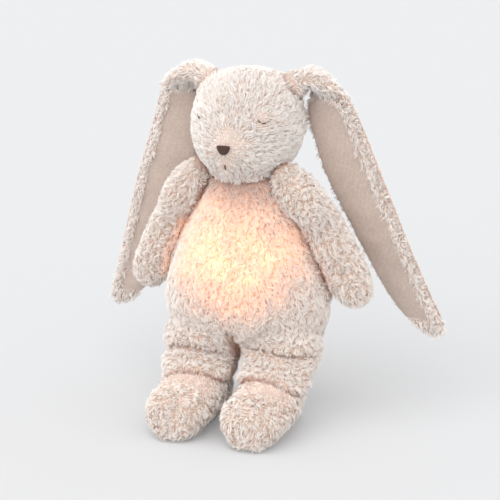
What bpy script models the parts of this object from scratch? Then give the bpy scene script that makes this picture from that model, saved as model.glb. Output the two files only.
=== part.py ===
# A plush rabbit night light: a stuffed standing figure with long hanging ears,
# and a light and sound unit in a pocket in its belly that opens at the back.
# Metres, +Z up. The figure faces -Y, so its own left side is +X.

import bmesh
import bpy
from math import cos, pi, radians, sin, sqrt
from mathutils import Matrix, Vector

# Clearances shared by the whole figure
touch_gap = 0.0003          # between pieces that lie against each other
fabric_gap = 0.0006         # between two layers of cloth
swing_gap = 0.0005          # round a ball that turns in its socket
flap_gap = 0.001            # seam line round the pocket flap
cut_overrun = 0.006         # how far a cutter runs past what it cuts
weld_reach = 0.00001        # loose cap points closer than this are one point
trunk_y = 0.019             # trunk axis behind the middle of the figure's box

# Trunk
crotch_height = 0.064
trunk_height = 0.174
hip_half_width = 0.083
belly_depth = 0.061         # axis to the front of the belly
back_depth = 0.042          # axis to the back
trunk_sides = 14
# height, half width, front depth and back depth, each as a share
trunk_shares = (
    (0.00, 0.48, 0.46, 0.66),
    (0.07, 0.84, 0.76, 0.94),
    (0.19, 1.00, 0.94, 1.00),
    (0.35, 0.96, 1.00, 1.00),
    (0.54, 0.81, 0.97, 0.96),
    (0.73, 0.61, 0.81, 0.88),
    (0.87, 0.495, 0.66, 0.80),
    (1.00, 0.42, 0.44, 0.62),
)

# Head, from the top of the trunk up
head_rise = 0.034           # top of the trunk to the middle of the head
head_half_height = 0.0545
head_half_width = 0.0547
head_depth = 0.050          # axis to the face and to the back of the head
muzzle_depth = 0.014        # how far the muzzle stands out of the face
head_sides = 14
# height, half width, depth and muzzle, each as a share
head_shares = (
    (-1.00, 0.28, 0.30, 0.35),
    (-0.84, 0.55, 0.60, 0.75),
    (-0.56, 0.81, 0.88, 1.00),
    (-0.22, 0.97, 1.00, 1.00),
    (0.14, 1.00, 0.99, 0.40),
    (0.52, 0.89, 0.88, 0.05),
    (0.86, 0.60, 0.58, 0.00),
    (1.00, 0.28, 0.26, 0.00),
)

# Face
nose_width = 0.0125
nose_height = 0.0084
# outline of the nose, as shares of its width and height
nose_shares = (
    (-0.50, 0.26), (-0.30, 0.50), (0.30, 0.50), (0.50, 0.26), (0.13, -0.46), (-0.13, -0.46),
)
nose_pad_depth = 0.005
nose_stand = 0.0016         # how far the pad stands out of the muzzle
nose_drop = 0.012           # below the middle of the head
mouth_length = 0.0048
mouth_drop = 0.0275
eye_width = 0.0108
eye_sag = 0.0036
eye_offset = 0.030
eye_rise = 0.014
stitch_radius = 0.0010
stitch_points = 7
stitch_stand_share = 0.8

# Ears
ear_root_offset_share = 0.77    # of the head's half width
ear_root_rise_share = 0.70      # of the head's half height
ear_root_set_back = 0.008
ear_spread = 0.120
ear_sweep_back = 0.062
ear_drop = 0.240
ear_half_width = 0.0275
ear_half_depth = 0.0120
ear_root_radius = 0.0125
ear_sides = 8
# outward, backward, downward, half width, half depth and turn, each as a share
ear_shares = (
    (-0.02, 0.00, 0.005, 0.36, 0.70, 0.00),
    (0.05, 0.04, -0.019, 0.52, 0.86, 0.00),
    (0.12, 0.09, -0.028, 0.70, 0.98, 0.15),
    (0.19, 0.16, 0.000, 0.85, 0.84, 0.45),
    (0.215, 0.19, 0.034, 0.90, 0.72, 0.65),
    (0.240, 0.22, 0.085, 0.95, 0.58, 0.85),
    (0.285, 0.26, 0.165, 1.00, 0.44, 1.00),
    (0.385, 0.34, 0.322, 1.05, 0.38, 1.00),
    (0.50, 0.43, 0.454, 1.00, 0.38, 1.00),
    (0.615, 0.55, 0.593, 0.92, 0.38, 1.00),
    (0.715, 0.69, 0.721, 0.88, 0.38, 1.00),
    (0.84, 0.85, 0.861, 0.80, 0.38, 1.00),
    (0.96, 0.95, 0.942, 0.60, 0.36, 1.00),
    (1.060, 1.00, 0.985, 0.34, 0.30, 1.00),
)
ear_full_turn = 90
lining_first = 4            # first ear ring that the lining reaches
lining_half_depth = 0.0016
lining_inset_share = 0.78
lining_shift_share = -0.08    # towards the inner edge of the ear
lining_front_share = 1.02

# Arms
shoulder_offset_share = 0.57    # of the hip half width
shoulder_rise_share = 0.868     # of the trunk height
arm_reach = 0.052
arm_set_back = 0.008
arm_drop = 0.088
arm_bow = 0.006
arm_radius = 0.0210
arm_sides = 10
arm_sweep_share = 1.5       # of the arm's drop
shoulder_radius = 0.0225
# place along the arm and radius, each as a share
arm_shares = (
    (-0.22, 0.50),
    (-0.13, 0.86),
    (0.10, 1.00),
    (0.36, 1.00),
    (0.62, 1.00),
    (0.90, 1.02),
    (1.10, 0.88),
    (1.20, 0.48),
)

# Legs and feet
hip_offset_share = 0.5      # of the hip half width
hip_radius_share = 0.43     # of the hip half width
thigh_radius_share = 0.42   # of the hip half width
ankle_radius_share = 0.395  # of the hip half width
hip_set_forward = 0.014
hip_rise = 0.005            # crotch to the hip axis
ankle_forward = 0.018
ankle_drop = 0.030
# place down the shin and radius, each as a share
shin_shares = ((0.00, 1.00), (0.50, 1.00), (1.00, 1.00), (1.15, 0.50))
leg_rows = 12
leg_sides = 20
shin_sides = 10
hip_swing = 45
hip_steps = 4
sole_cut = 0.0005
foot_offset_share = 0.435       # of the hip half width
foot_half_width_share = 0.405   # of the hip half width
foot_length = 0.124
foot_toe_forward = 0.112
foot_height = 0.055
foot_sides = 10
# place along the foot from the heel, half width and height, each as a share
foot_shares = (
    (0.00, 0.34, 0.52),
    (0.06, 0.64, 0.82),
    (0.22, 0.84, 0.98),
    (0.45, 0.96, 0.98),
    (0.72, 1.00, 0.93),
    (0.90, 0.86, 0.84),
    (0.99, 0.46, 0.58),
)

# Pocket in the belly and the flap that closes it at the back
pocket_rise_share = 0.529   # of the trunk height
pocket_play = 0.0006
lining_wall = 0.0012
flap_side_margin = 0.0075   # round the light unit
flap_end_margin = 0.016
flap_inner_depth = 0.0285   # trunk axis to the inside face of the flap
flap_sides = 40
strip_width = 0.034
strip_height = 0.008
strip_depth = 0.0011
strip_rise = 0.0035         # above the lower edge of the flap

# Light and sound unit. Its own +Z points forward, out of the belly.
unit_radius = 0.034
unit_wall = 0.0018
dome_depth = 0.034
dome_rings = 6
turn_steps = 32
housing_depth = 0.036
unit_stand_off = 0.003      # back of the unit to the inside face of the flap
cover_depth = 0.0025
screw_ring_radius = 0.0283
screw_first_angle = 90
screw_count = 3
post_radius = 0.0044
screw_radius = 0.0010
screw_length = 0.010
screw_head_radius = 0.0020
screw_head_depth = 0.0012
board_radius = 0.0303
board_depth = 0.0016
board_set_back = 0.0022     # front of the main board behind the dome's rim
led_count = 6
led_ring_radius = 0.017
led_width = 0.0035
led_depth = 0.0016
battery_width = 0.036
battery_height = 0.030
battery_depth = 0.0085
speaker_rise = 0.0095
speaker_radius = 0.0130
speaker_depth = 0.0110
speaker_rim_depth = 0.0025
speaker_back_share = 0.62
grille_hole_radius = 0.0011
grille_ring_radius = 0.0060
grille_ring_count = 6
button_drop = 0.0115
button_spacing = 0.0135
button_radius = 0.0038
button_play = 0.0003
button_flange = 0.0009
button_flange_depth = 0.0009
button_stand = 0.0012
button_travel = 0.0010
switch_width = 0.0045
switch_depth = 0.0022
key_board_half_width = 0.0198
key_board_top = -0.0055
key_board_bottom = -0.0285
key_board_depth = 0.0012
stand_off_offset = 0.0125
stand_off_drop = 0.0225
stand_off_radius = 0.0020
socket_drop = 0.0252
socket_width = 0.0090
socket_height = 0.0033
socket_depth = 0.0072
socket_inset = 0.0006
socket_wall = 0.0004
small_sides = 20
screw_sides = 12
ball_rows = 12
ball_sides = 24

# Sizes that follow from those above
head_centre_height = crotch_height + trunk_height + head_rise
ear_root_offset = head_half_width * ear_root_offset_share
ear_root_height = head_centre_height + head_half_height * ear_root_rise_share
shoulder_offset = hip_half_width * shoulder_offset_share
shoulder_height = crotch_height + trunk_height * shoulder_rise_share
hip_offset = hip_half_width * hip_offset_share
hip_height = crotch_height + hip_rise
hip_radius = hip_half_width * hip_radius_share
thigh_radius = hip_half_width * thigh_radius_share
ankle_radius = hip_half_width * ankle_radius_share
foot_offset = hip_half_width * foot_offset_share
foot_half_width = hip_half_width * foot_half_width_share
pocket_height = crotch_height + trunk_height * pocket_rise_share
flap_half_width = unit_radius + flap_side_margin
flap_half_height = unit_radius + flap_end_margin


def clear_scene():
    for thing in list(bpy.data.objects):
        bpy.data.objects.remove(thing, do_unlink=True)


def new_collection(name):
    group = bpy.data.collections.new(name)
    bpy.context.scene.collection.children.link(group)
    return group


clear_scene()
figure_pieces = new_collection("plush_night_light")
cutters = new_collection("cutters")


# Materials

def principled(name, colour, roughness, metallic=0.0):
    finish = bpy.data.materials.get(name)
    if finish is None:
        finish = bpy.data.materials.new(name)
        finish.use_nodes = True
        shader = finish.node_tree.nodes["Principled BSDF"]
        shader.inputs["Base Color"].default_value = (*colour, 1.0)
        shader.inputs["Roughness"].default_value = roughness
        shader.inputs["Metallic"].default_value = metallic
    return finish


def pile_fabric():
    return principled("oatmeal_pile", (0.74, 0.64, 0.57), 0.95)


def lining_fabric():
    return principled("ear_lining_velour", (0.56, 0.46, 0.41), 0.90)


def brown_felt():
    return principled("brown_felt", (0.10, 0.06, 0.045), 0.85)


def brown_thread():
    return principled("brown_thread", (0.12, 0.075, 0.06), 0.70)


def pocket_cloth():
    return principled("pocket_cloth", (0.70, 0.62, 0.56), 0.90)


def fastener_tape():
    return principled("fastener_tape", (0.66, 0.60, 0.55), 0.80)


def frosted_plastic():
    return principled("frosted_plastic", (0.95, 0.90, 0.78), 0.45)


def white_plastic():
    return principled("white_plastic", (0.82, 0.81, 0.78), 0.40)


def button_plastic():
    return principled("button_plastic", (0.62, 0.58, 0.54), 0.45)


def board_laminate():
    return principled("board_laminate", (0.05, 0.22, 0.10), 0.50)


def lamp_resin():
    return principled("lamp_resin", (0.95, 0.85, 0.45), 0.30)


def cell_foil():
    return principled("cell_foil", (0.55, 0.56, 0.58), 0.35, 0.8)


def speaker_steel():
    return principled("speaker_steel", (0.20, 0.20, 0.21), 0.40, 0.7)


def plated_steel():
    return principled("plated_steel", (0.62, 0.62, 0.63), 0.30, 1.0)


def switch_plastic():
    return principled("switch_plastic", (0.06, 0.06, 0.06), 0.50)


# Tools shared by the pieces

def place(thing, parent, location=(0, 0, 0), rotation=(0, 0, 0)):
    thing.parent = parent
    thing.location = location
    thing.rotation_euler = rotation
    return thing


def anchor(name, parent, location, rotation=(0, 0, 0)):
    point = bpy.data.objects.new(name, None)
    figure_pieces.objects.link(point)
    return place(point, parent, location, rotation)


def from_bmesh(name, shell, group, finish):
    bmesh.ops.recalc_face_normals(shell, faces=shell.faces)
    mesh = bpy.data.meshes.new(name)
    shell.to_mesh(mesh)
    shell.free()
    mesh.shade_smooth()
    mesh.set_sharp_from_angle(angle=radians(40))
    piece = bpy.data.objects.new(name, mesh)
    group.objects.link(piece)
    if finish is not None:
        mesh.materials.append(finish)
    return piece


def as_cutter(piece):
    for group in list(piece.users_collection):
        group.objects.unlink(piece)
    cutters.objects.link(piece)
    piece.hide_render = True
    piece.display_type = "WIRE"
    return piece


def combine(target, other, operation="DIFFERENCE"):
    step = target.modifiers.new(operation.lower(), "BOOLEAN")
    step.operation = operation
    step.solver = "EXACT"
    step.object = other
    return target


def soften(piece, levels):
    step = piece.modifiers.new("soften", "SUBSURF")
    step.levels = levels
    step.render_levels = levels
    return piece


def grown_copy(form, gap, name):
    shell = form.copy()
    shell.name = name
    as_cutter(shell)
    step = shell.modifiers.new("grow", "DISPLACE")
    step.strength = gap
    step.mid_level = 0
    return shell


def ring_swell(sides):
    # a smoothed cage ring shrinks by this much, so it is drawn that much larger
    return 3 / (2 + cos(2 * pi / sides))


def loft(name, rings, finish, levels, group=None):
    shell = bmesh.new()
    loops = [[shell.verts.new(point) for point in ring] for ring in rings]
    for low, high in zip(loops, loops[1:]):
        for i in range(len(low)):
            j = (i + 1) % len(low)
            shell.faces.new((low[i], low[j], high[j], high[i]))
    shell.faces.new(loops[0])
    shell.faces.new(loops[-1])
    piece = from_bmesh(name, shell, group or figure_pieces, finish)
    return soften(piece, levels)


def oval(centre, across, through, sides):
    swell = ring_swell(sides)
    turns = [2 * pi * i / sides for i in range(sides)]
    return [centre + across * (cos(a) * swell) + through * (sin(a) * swell) for a in turns]


def box(name, size, centre, finish=None, group=None):
    shell = bmesh.new()
    bmesh.ops.create_cube(shell, size=1)
    bmesh.ops.scale(shell, vec=size, verts=shell.verts)
    bmesh.ops.translate(shell, vec=centre, verts=shell.verts)
    return from_bmesh(name, shell, group or figure_pieces, finish)


def rod(name, radius, low, high, centre, sides, finish=None, group=None, end_radius=None):
    # a round bar along the local Z axis
    shell = bmesh.new()
    top = radius if end_radius is None else end_radius
    bmesh.ops.create_cone(shell, cap_ends=True, segments=sides,
                          radius1=radius, radius2=top, depth=high - low)
    middle = (centre[0], centre[1], (low + high) / 2)
    bmesh.ops.translate(shell, vec=middle, verts=shell.verts)
    return from_bmesh(name, shell, group or figure_pieces, finish)


def ball(name, radius, rows, sides, finish=None, group=None):
    # its poles lie on the local X axis
    shell = bmesh.new()
    bmesh.ops.create_uvsphere(shell, u_segments=sides, v_segments=rows, radius=radius)
    quarter = Matrix.Rotation(radians(90), 3, "Y")
    bmesh.ops.rotate(shell, matrix=quarter, verts=shell.verts)
    return from_bmesh(name, shell, group or figure_pieces, finish)


def turned(name, profile, steps, finish=None, group=None):
    # profile points are (radius, height), from the top down the outer side
    mesh = bpy.data.meshes.new(name)
    points = [(radius, 0, height) for radius, height in profile]
    edges = [(i, i + 1) for i in range(len(points) - 1)]
    mesh.from_pydata(points, edges, [])
    piece = bpy.data.objects.new(name, mesh)
    (group or figure_pieces).objects.link(piece)
    if finish is not None:
        mesh.materials.append(finish)
    spin = piece.modifiers.new("turn", "SCREW")
    spin.steps = steps
    spin.render_steps = steps
    spin.use_merge_vertices = True
    spin.merge_threshold = weld_reach
    spin.use_smooth_shade = True
    return piece


def solid_from_curve(curve_object, name, finish):
    bpy.context.view_layer.update()
    graph = bpy.context.evaluated_depsgraph_get()
    mesh = bpy.data.meshes.new_from_object(curve_object.evaluated_get(graph))
    shell = bmesh.new()
    shell.from_mesh(mesh)
    bmesh.ops.remove_doubles(shell, verts=shell.verts, dist=weld_reach)
    piece = from_bmesh(name, shell, figure_pieces, finish)
    piece.matrix_world = curve_object.matrix_world.copy()
    bpy.data.objects.remove(curve_object, do_unlink=True)
    bpy.data.meshes.remove(mesh)
    return piece


def surface_point(form, start, direction):
    # where a straight line from start first meets the form, in the form's own space
    bpy.context.view_layer.update()
    graph = bpy.context.evaluated_depsgraph_get()
    found, point, normal, face = form.evaluated_get(graph).ray_cast(start, direction)
    return point, normal


def side_name(side):
    return "left" if side > 0 else "right"


# Trunk

def trunk_ring(share_row):
    rise, width, front, back = share_row
    height = crotch_height + rise * trunk_height
    swell = ring_swell(trunk_sides)
    ring = []
    for i in range(trunk_sides):
        turn = 2 * pi * i / trunk_sides
        reach = front * belly_depth if sin(turn) < 0 else back * back_depth
        across = width * hip_half_width * cos(turn) * swell
        ring.append(Vector((across, reach * sin(turn) * swell, height)))
    return ring


def make_torso(figure):
    torso = loft("torso_plush", [trunk_ring(row) for row in trunk_shares], pile_fabric(), 1)
    return place(torso, figure)


def trunk_half_width(height):
    # straight lines between the rings, which the smoothed trunk stays inside
    rise = (height - crotch_height) / trunk_height
    if rise <= trunk_shares[0][0]:
        return max(row[1] for row in trunk_shares) * hip_half_width
    for low, high in zip(trunk_shares, trunk_shares[1:]):
        if low[0] <= rise <= high[0]:
            along = (rise - low[0]) / (high[0] - low[0])
            return (low[1] + along * (high[1] - low[1])) * hip_half_width
    return trunk_shares[-1][1] * hip_half_width


# Head and face

def head_ring(share_row):
    rise, width, depth, muzzle = share_row
    height = head_centre_height + rise * head_half_height
    swell = ring_swell(head_sides)
    ring = []
    for i in range(head_sides):
        turn = 2 * pi * i / head_sides - pi / 2
        forward = max(0, -sin(turn)) ** 3 * muzzle * muzzle_depth
        across = width * head_half_width * cos(turn) * swell
        along = depth * head_depth * sin(turn) * swell - forward * swell
        ring.append(Vector((across, along, height)))
    return ring


def make_head(figure, torso_shell):
    head = loft("head_plush", [head_ring(row) for row in head_shares], pile_fabric(), 1)
    place(head, figure)
    head_shell = grown_copy(head, touch_gap, "head_shell")
    combine(head, torso_shell)
    return head, head_shell


def make_nose(figure, head_shell):
    height = head_centre_height - nose_drop
    start = Vector((0, -belly_depth - head_depth, height))
    tip, normal = surface_point(head_shell, start, Vector((0, 1, 0)))
    outline = bpy.data.curves.new("nose_outline", "CURVE")
    outline.dimensions = "2D"
    outline.fill_mode = "BOTH"
    outline.extrude = nose_pad_depth / 2
    outline.resolution_u = 4
    spline = outline.splines.new("BEZIER")
    spline.bezier_points.add(len(nose_shares) - 1)
    for point, (across, rise) in zip(spline.bezier_points, nose_shares):
        point.co = (across * nose_width, rise * nose_height, 0)
        point.handle_left_type = "AUTO"
        point.handle_right_type = "AUTO"
    spline.use_cyclic_u = True
    flat = bpy.data.objects.new("nose_outline", outline)
    figure_pieces.objects.link(flat)
    flat.rotation_euler = (radians(90), 0, 0)
    flat.location = (0, tip.y - nose_stand + nose_pad_depth / 2, height)
    nose = solid_from_curve(flat, "nose_patch", brown_felt())
    nose.parent = figure
    combine(nose, head_shell)
    return nose


def stitch_line(name, spots, figure, head_shell):
    # each spot is (across, height) on the face, and the thread lies half sunk in it
    thread = bpy.data.curves.new(name + "_line", "CURVE")
    thread.dimensions = "3D"
    thread.bevel_depth = stitch_radius
    thread.bevel_resolution = 1
    thread.use_fill_caps = True
    spline = thread.splines.new("POLY")
    spline.points.add(len(spots) - 1)
    for knot, (across, height) in zip(spline.points, spots):
        start = Vector((across, -belly_depth - head_depth, height))
        point, normal = surface_point(head_shell, start, Vector((0, 1, 0)))
        knot.co = (*(point + normal * (stitch_radius * stitch_stand_share)), 1)
    line = bpy.data.objects.new(name + "_line", thread)
    figure_pieces.objects.link(line)
    stitch = solid_from_curve(line, name, brown_thread())
    stitch.parent = figure
    combine(stitch, head_shell)
    return stitch


def make_eye(side, figure, head_shell):
    spots = []
    for i in range(stitch_points):
        along = 2 * i / (stitch_points - 1) - 1
        across = side * eye_offset + along * eye_width / 2
        drop = (1 - along * along) * eye_sag
        spots.append((across, head_centre_height + eye_rise - drop))
    return stitch_line(side_name(side) + "_eye_stitch", spots, figure, head_shell)


def make_mouth(figure, head_shell):
    top = head_centre_height - mouth_drop + mouth_length / 2
    spots = [(0, top - mouth_length * i / (stitch_points - 1)) for i in range(stitch_points)]
    return stitch_line("mouth_stitch", spots, figure, head_shell)


# Ears

def ear_centre(side, row):
    out, back, down = row[:3]
    return Vector((side * out * ear_spread, back * ear_sweep_back, -down * ear_drop))


def ear_frames(side, rows):
    centres = [ear_centre(side, row) for row in rows]
    frames = []
    for i, row in enumerate(rows):
        ahead = centres[min(i + 1, len(rows) - 1)]
        behind = centres[max(i - 1, 0)]
        along = (ahead - behind).normalized()
        turn = radians(ear_full_turn * row[5])
        across = Vector((side * sin(turn), -cos(turn), 0))
        across = (across - along * across.dot(along)).normalized()
        through = along.cross(across).normalized() * side
        frames.append((centres[i], across, through, row[3], row[4]))
    return frames


def lining_ring(centre, across, through, width, depth):
    # follows the curved front of the ear at the same place
    swell = ring_swell(ear_sides)
    ring = []
    for i in range(ear_sides):
        turn = 2 * pi * i / ear_sides
        over = lining_inset_share * cos(turn) + lining_shift_share
        front = depth * ear_half_depth * lining_front_share * sqrt(1 - over * over)
        front += lining_half_depth * sin(turn) * swell
        ring.append(centre + across * (over * width * ear_half_width * swell) + through * front)
    return ring


def make_ear(side, figure, head, head_shell):
    root = (side * ear_root_offset, ear_root_set_back, ear_root_height)
    hinge = anchor(side_name(side) + "_ear_root", figure, root)
    frames = ear_frames(side, ear_shares)
    rings = [oval(centre, across * (width * ear_half_width),
                  through * (depth * ear_half_depth), ear_sides)
             for centre, across, through, width, depth in frames]
    pile = loft(side_name(side) + "_ear_pile", rings, pile_fabric(), 1)
    place(pile, hinge)
    combine(pile, head_shell)

    rings = [lining_ring(*frame) for frame in frames[lining_first:]]
    lining = loft(side_name(side) + "_ear_lining", rings, lining_fabric(), 1)
    place(lining, hinge)
    root_ball = ball(side_name(side) + "_ear_ball", ear_root_radius, ball_rows, ball_sides,
                     group=cutters)
    combine(pile, place(as_cutter(root_ball), hinge), "UNION")
    combine(pile, grown_copy(lining, fabric_gap, side_name(side) + "_lining_shell"))

    socket = ball(side_name(side) + "_ear_socket", ear_root_radius + swing_gap, ball_rows,
                  ball_sides, group=cutters)
    combine(head, place(as_cutter(socket), hinge))


# Arms

def arm_centre(side, along):
    bow = arm_bow * sin(pi * min(max(along, 0), 1))
    return Vector((side * (along * arm_reach + bow), along * arm_set_back, -along * arm_drop))


def make_arm(side, figure, head):
    root = (side * shoulder_offset, 0, shoulder_height)
    hinge = anchor(side_name(side) + "_shoulder", figure, root)
    centres = [arm_centre(side, along) for along, radius in arm_shares]
    rings = []
    for i, (along, radius) in enumerate(arm_shares):
        ahead = centres[min(i + 1, len(centres) - 1)] - centres[max(i - 1, 0)]
        through = Vector((0, 1, 0))
        across = ahead.cross(through).normalized()
        through = across.cross(ahead).normalized()
        size = radius * arm_radius
        rings.append(oval(centres[i], across * size, through * size, arm_sides))
    arm = loft(side_name(side) + "_arm_plush", rings, pile_fabric(), 1)
    place(arm, hinge)

    # the trunk's side, turned about the shoulder, clears the arm in every position
    reach = arm_drop * arm_sweep_share
    steps = len(trunk_shares) * 2
    profile = []
    for i in range(steps + 1):
        radius = reach * i / steps
        width = trunk_half_width(shoulder_height - radius) + swing_gap
        profile.append((radius, width))
    profile.append((reach, 0))
    profile.append((0, 0))
    side_turn = turned(side_name(side) + "_arm_sweep", profile, turn_steps, group=cutters)
    place(as_cutter(side_turn), figure, (0, 0, shoulder_height), (0, side * radians(90), 0))
    combine(arm, side_turn)

    # the underside of the head is hollowed where the shoulder turns under it
    hollow = rod(side_name(side) + "_shoulder_sweep", shoulder_radius + swing_gap,
                 -shoulder_radius, shoulder_radius, (0, 0, 0), turn_steps, group=cutters)
    place(as_cutter(hollow), hinge, rotation=(0, radians(90), 0))
    combine(head, hollow)


# Legs and feet

def make_leg(side, figure, torso):
    hip = (side * hip_offset, -hip_set_forward, hip_height)
    hinge = anchor(side_name(side) + "_hip", figure, hip)
    leg = ball(side_name(side) + "_leg_plush", hip_radius, leg_rows, leg_sides, pile_fabric())
    place(leg, hinge)

    ankle = Vector((0, -ankle_forward, -ankle_drop))
    rings = []
    for down, width in shin_shares:
        radius = (thigh_radius + min(down, 1) * (ankle_radius - thigh_radius)) * width
        across = Vector((radius, 0, 0))
        rings.append(oval(ankle * down, across, Vector((0, radius, 0)), shin_sides))
    shin = loft(side_name(side) + "_shin", rings, None, 1, cutters)
    place(as_cutter(shin), hinge)
    combine(leg, shin, "UNION")

    # the hip socket, and the room the thigh needs as the leg swings forward
    socket = ball(side_name(side) + "_hip_socket", hip_radius + swing_gap, leg_rows, leg_sides,
                  group=cutters)
    place(as_cutter(socket), hinge)
    combine(torso, socket)
    rest_lean = ankle.angle(Vector((0, 0, -1)))
    for i in range(hip_steps):
        lean = rest_lean + radians(hip_swing) * i / (hip_steps - 1)
        sweep = rod(side_name(side) + "_thigh_sweep_" + str(i), thigh_radius + swing_gap,
                    -hip_radius * 2, 0, (0, 0, 0), turn_steps, group=cutters)
        place(as_cutter(sweep), hinge, rotation=(-lean, 0, 0))
        combine(torso, sweep)
    return hinge, leg


def foot_ring(row):
    along, width, height = row
    half_width = width * foot_half_width
    half_height = height * (foot_height + sole_cut) / 2
    swell = ring_swell(foot_sides)
    y = foot_length * (1 - along) - foot_toe_forward
    ring = []
    for i in range(foot_sides):
        turn = 2 * pi * i / foot_sides
        across = half_width * cos(turn) * swell
        rise = half_height * sin(turn) * swell
        if rise < 0:
            rise = max(rise, -half_height)
        ring.append(Vector((across, y, half_height - sole_cut + rise)))
    return ring


def make_foot(side, hinge, leg, floor):
    foot = loft(side_name(side) + "_foot_plush", [foot_ring(row) for row in foot_shares],
                pile_fabric(), 1)
    place(foot, hinge, (side * (foot_offset - hip_offset), hip_set_forward, -hip_height))
    leg_shell = grown_copy(leg, touch_gap, side_name(side) + "_leg_shell")
    combine(foot, leg_shell)
    combine(foot, floor)


# Pocket and flap

def bullet_profile(radius, depth, back):
    # the outer side of a domed plug, from its tip down to its back
    profile = []
    for i in range(dome_rings + 1):
        turn = pi / 2 * i / dome_rings
        profile.append((radius * sin(turn), depth * cos(turn)))
    profile[0] = (0, depth)
    profile.append((radius, back))
    return profile


def make_pocket(unit, torso):
    back = -(housing_depth + unit_stand_off)
    inner = unit_radius + pocket_play
    outer = inner + lining_wall
    inner_depth = dome_depth + pocket_play
    outer_depth = inner_depth + lining_wall
    profile = bullet_profile(outer, outer_depth, back)
    profile += list(reversed(bullet_profile(inner, inner_depth, back)))
    lining = turned("pocket_lining", profile, turn_steps, pocket_cloth())
    place(lining, unit)
    profile = bullet_profile(outer + touch_gap, outer_depth + touch_gap, back - cut_overrun)
    profile.append((0, back - cut_overrun))
    bore = turned("pocket_bore", profile, turn_steps, group=cutters)
    combine(torso, place(as_cutter(bore), unit))


def flap_column(name, half_width, half_height, inner):
    far = back_depth + cut_overrun
    shell = bmesh.new()
    bmesh.ops.create_cone(shell, cap_ends=True, segments=flap_sides,
                          radius1=1, radius2=1, depth=far - inner)
    bmesh.ops.scale(shell, vec=(half_width, half_height, 1), verts=shell.verts)
    bmesh.ops.translate(shell, vec=(0, 0, -(far + inner) / 2), verts=shell.verts)
    return from_bmesh(name, shell, figure_pieces, None)


def make_flap(figure, torso, torso_form):
    top = pocket_height + flap_half_height
    start = Vector((0, back_depth * 2, top))
    edge, normal = surface_point(torso_form, start, Vector((0, -1, 0)))
    hinge = anchor("flap_hinge", figure, (0, edge.y, top))

    flap = flap_column("pocket_flap", flap_half_width, flap_half_height, flap_inner_depth)
    flap.data.materials.append(pile_fabric())
    place(flap, hinge, (0, -edge.y, -flap_half_height), (radians(90), 0, 0))
    combine(flap, torso_form, "INTERSECT")

    seat = flap_column("flap_seat", flap_half_width + flap_gap, flap_half_height + flap_gap,
                       flap_inner_depth - touch_gap)
    place(as_cutter(seat), figure, (0, 0, pocket_height), (radians(90), 0, 0))
    combine(torso, seat)

    strip_centre = flap_half_height * 2 - strip_rise - strip_height / 2
    sizes = (strip_width, strip_depth, strip_height)
    hook = box("hook_strip", sizes, (0, 0, 0), fastener_tape())
    place(hook, hinge, (0, flap_inner_depth - edge.y + strip_depth / 2, -strip_centre))
    seat_sizes = [size + touch_gap * 2 for size in sizes]
    hook_seat = box("hook_seat", seat_sizes, (0, 0, 0), group=cutters)
    place(as_cutter(hook_seat), hinge, hook.location)
    combine(flap, hook_seat)

    loop = box("loop_strip", sizes, (0, 0, 0), fastener_tape())
    loop_y = flap_inner_depth - touch_gap - strip_depth / 2
    place(loop, figure, (0, loop_y, top - strip_centre))
    loop_seat = box("loop_seat", seat_sizes, (0, 0, 0), group=cutters)
    place(as_cutter(loop_seat), figure, loop.location)
    combine(torso, loop_seat)


# Light and sound unit

def make_diffuser(unit):
    profile = bullet_profile(unit_radius, dome_depth, touch_gap)
    inside = bullet_profile(unit_radius - unit_wall, dome_depth - unit_wall, touch_gap)
    profile += list(reversed(inside))
    return place(turned("light_diffuser", profile, turn_steps, frosted_plastic()), unit)


def screw_places():
    for i in range(screw_count):
        turn = radians(screw_first_angle) + 2 * pi * i / screw_count
        yield i, screw_ring_radius * cos(turn), screw_ring_radius * sin(turn)


def make_housing(unit):
    back = -(housing_depth - cover_depth)
    inner = unit_radius - unit_wall
    profile = [(inner, 0), (unit_radius, 0), (unit_radius, back), (inner, back), (inner, 0)]
    housing = place(turned("rear_housing", profile, turn_steps, white_plastic()), unit)
    post_top = -(board_set_back + board_depth + touch_gap)
    for i, x, y in screw_places():
        post = rod("screw_post_" + str(i), post_radius, back, post_top, (x, y), small_sides,
                   group=cutters)
        combine(housing, place(as_cutter(post), unit), "UNION")
        hole_low = back - cut_overrun
        hole_high = back + screw_length
        hole = rod("post_hole_" + str(i), screw_radius + touch_gap, hole_low, hole_high,
                   (x, y), screw_sides, group=cutters)
        combine(housing, place(as_cutter(hole), unit))
    return housing


def button_places():
    for i, name in enumerate(("sound_button", "power_button", "light_button")):
        yield name, (i - 1) * button_spacing, -button_drop


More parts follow.
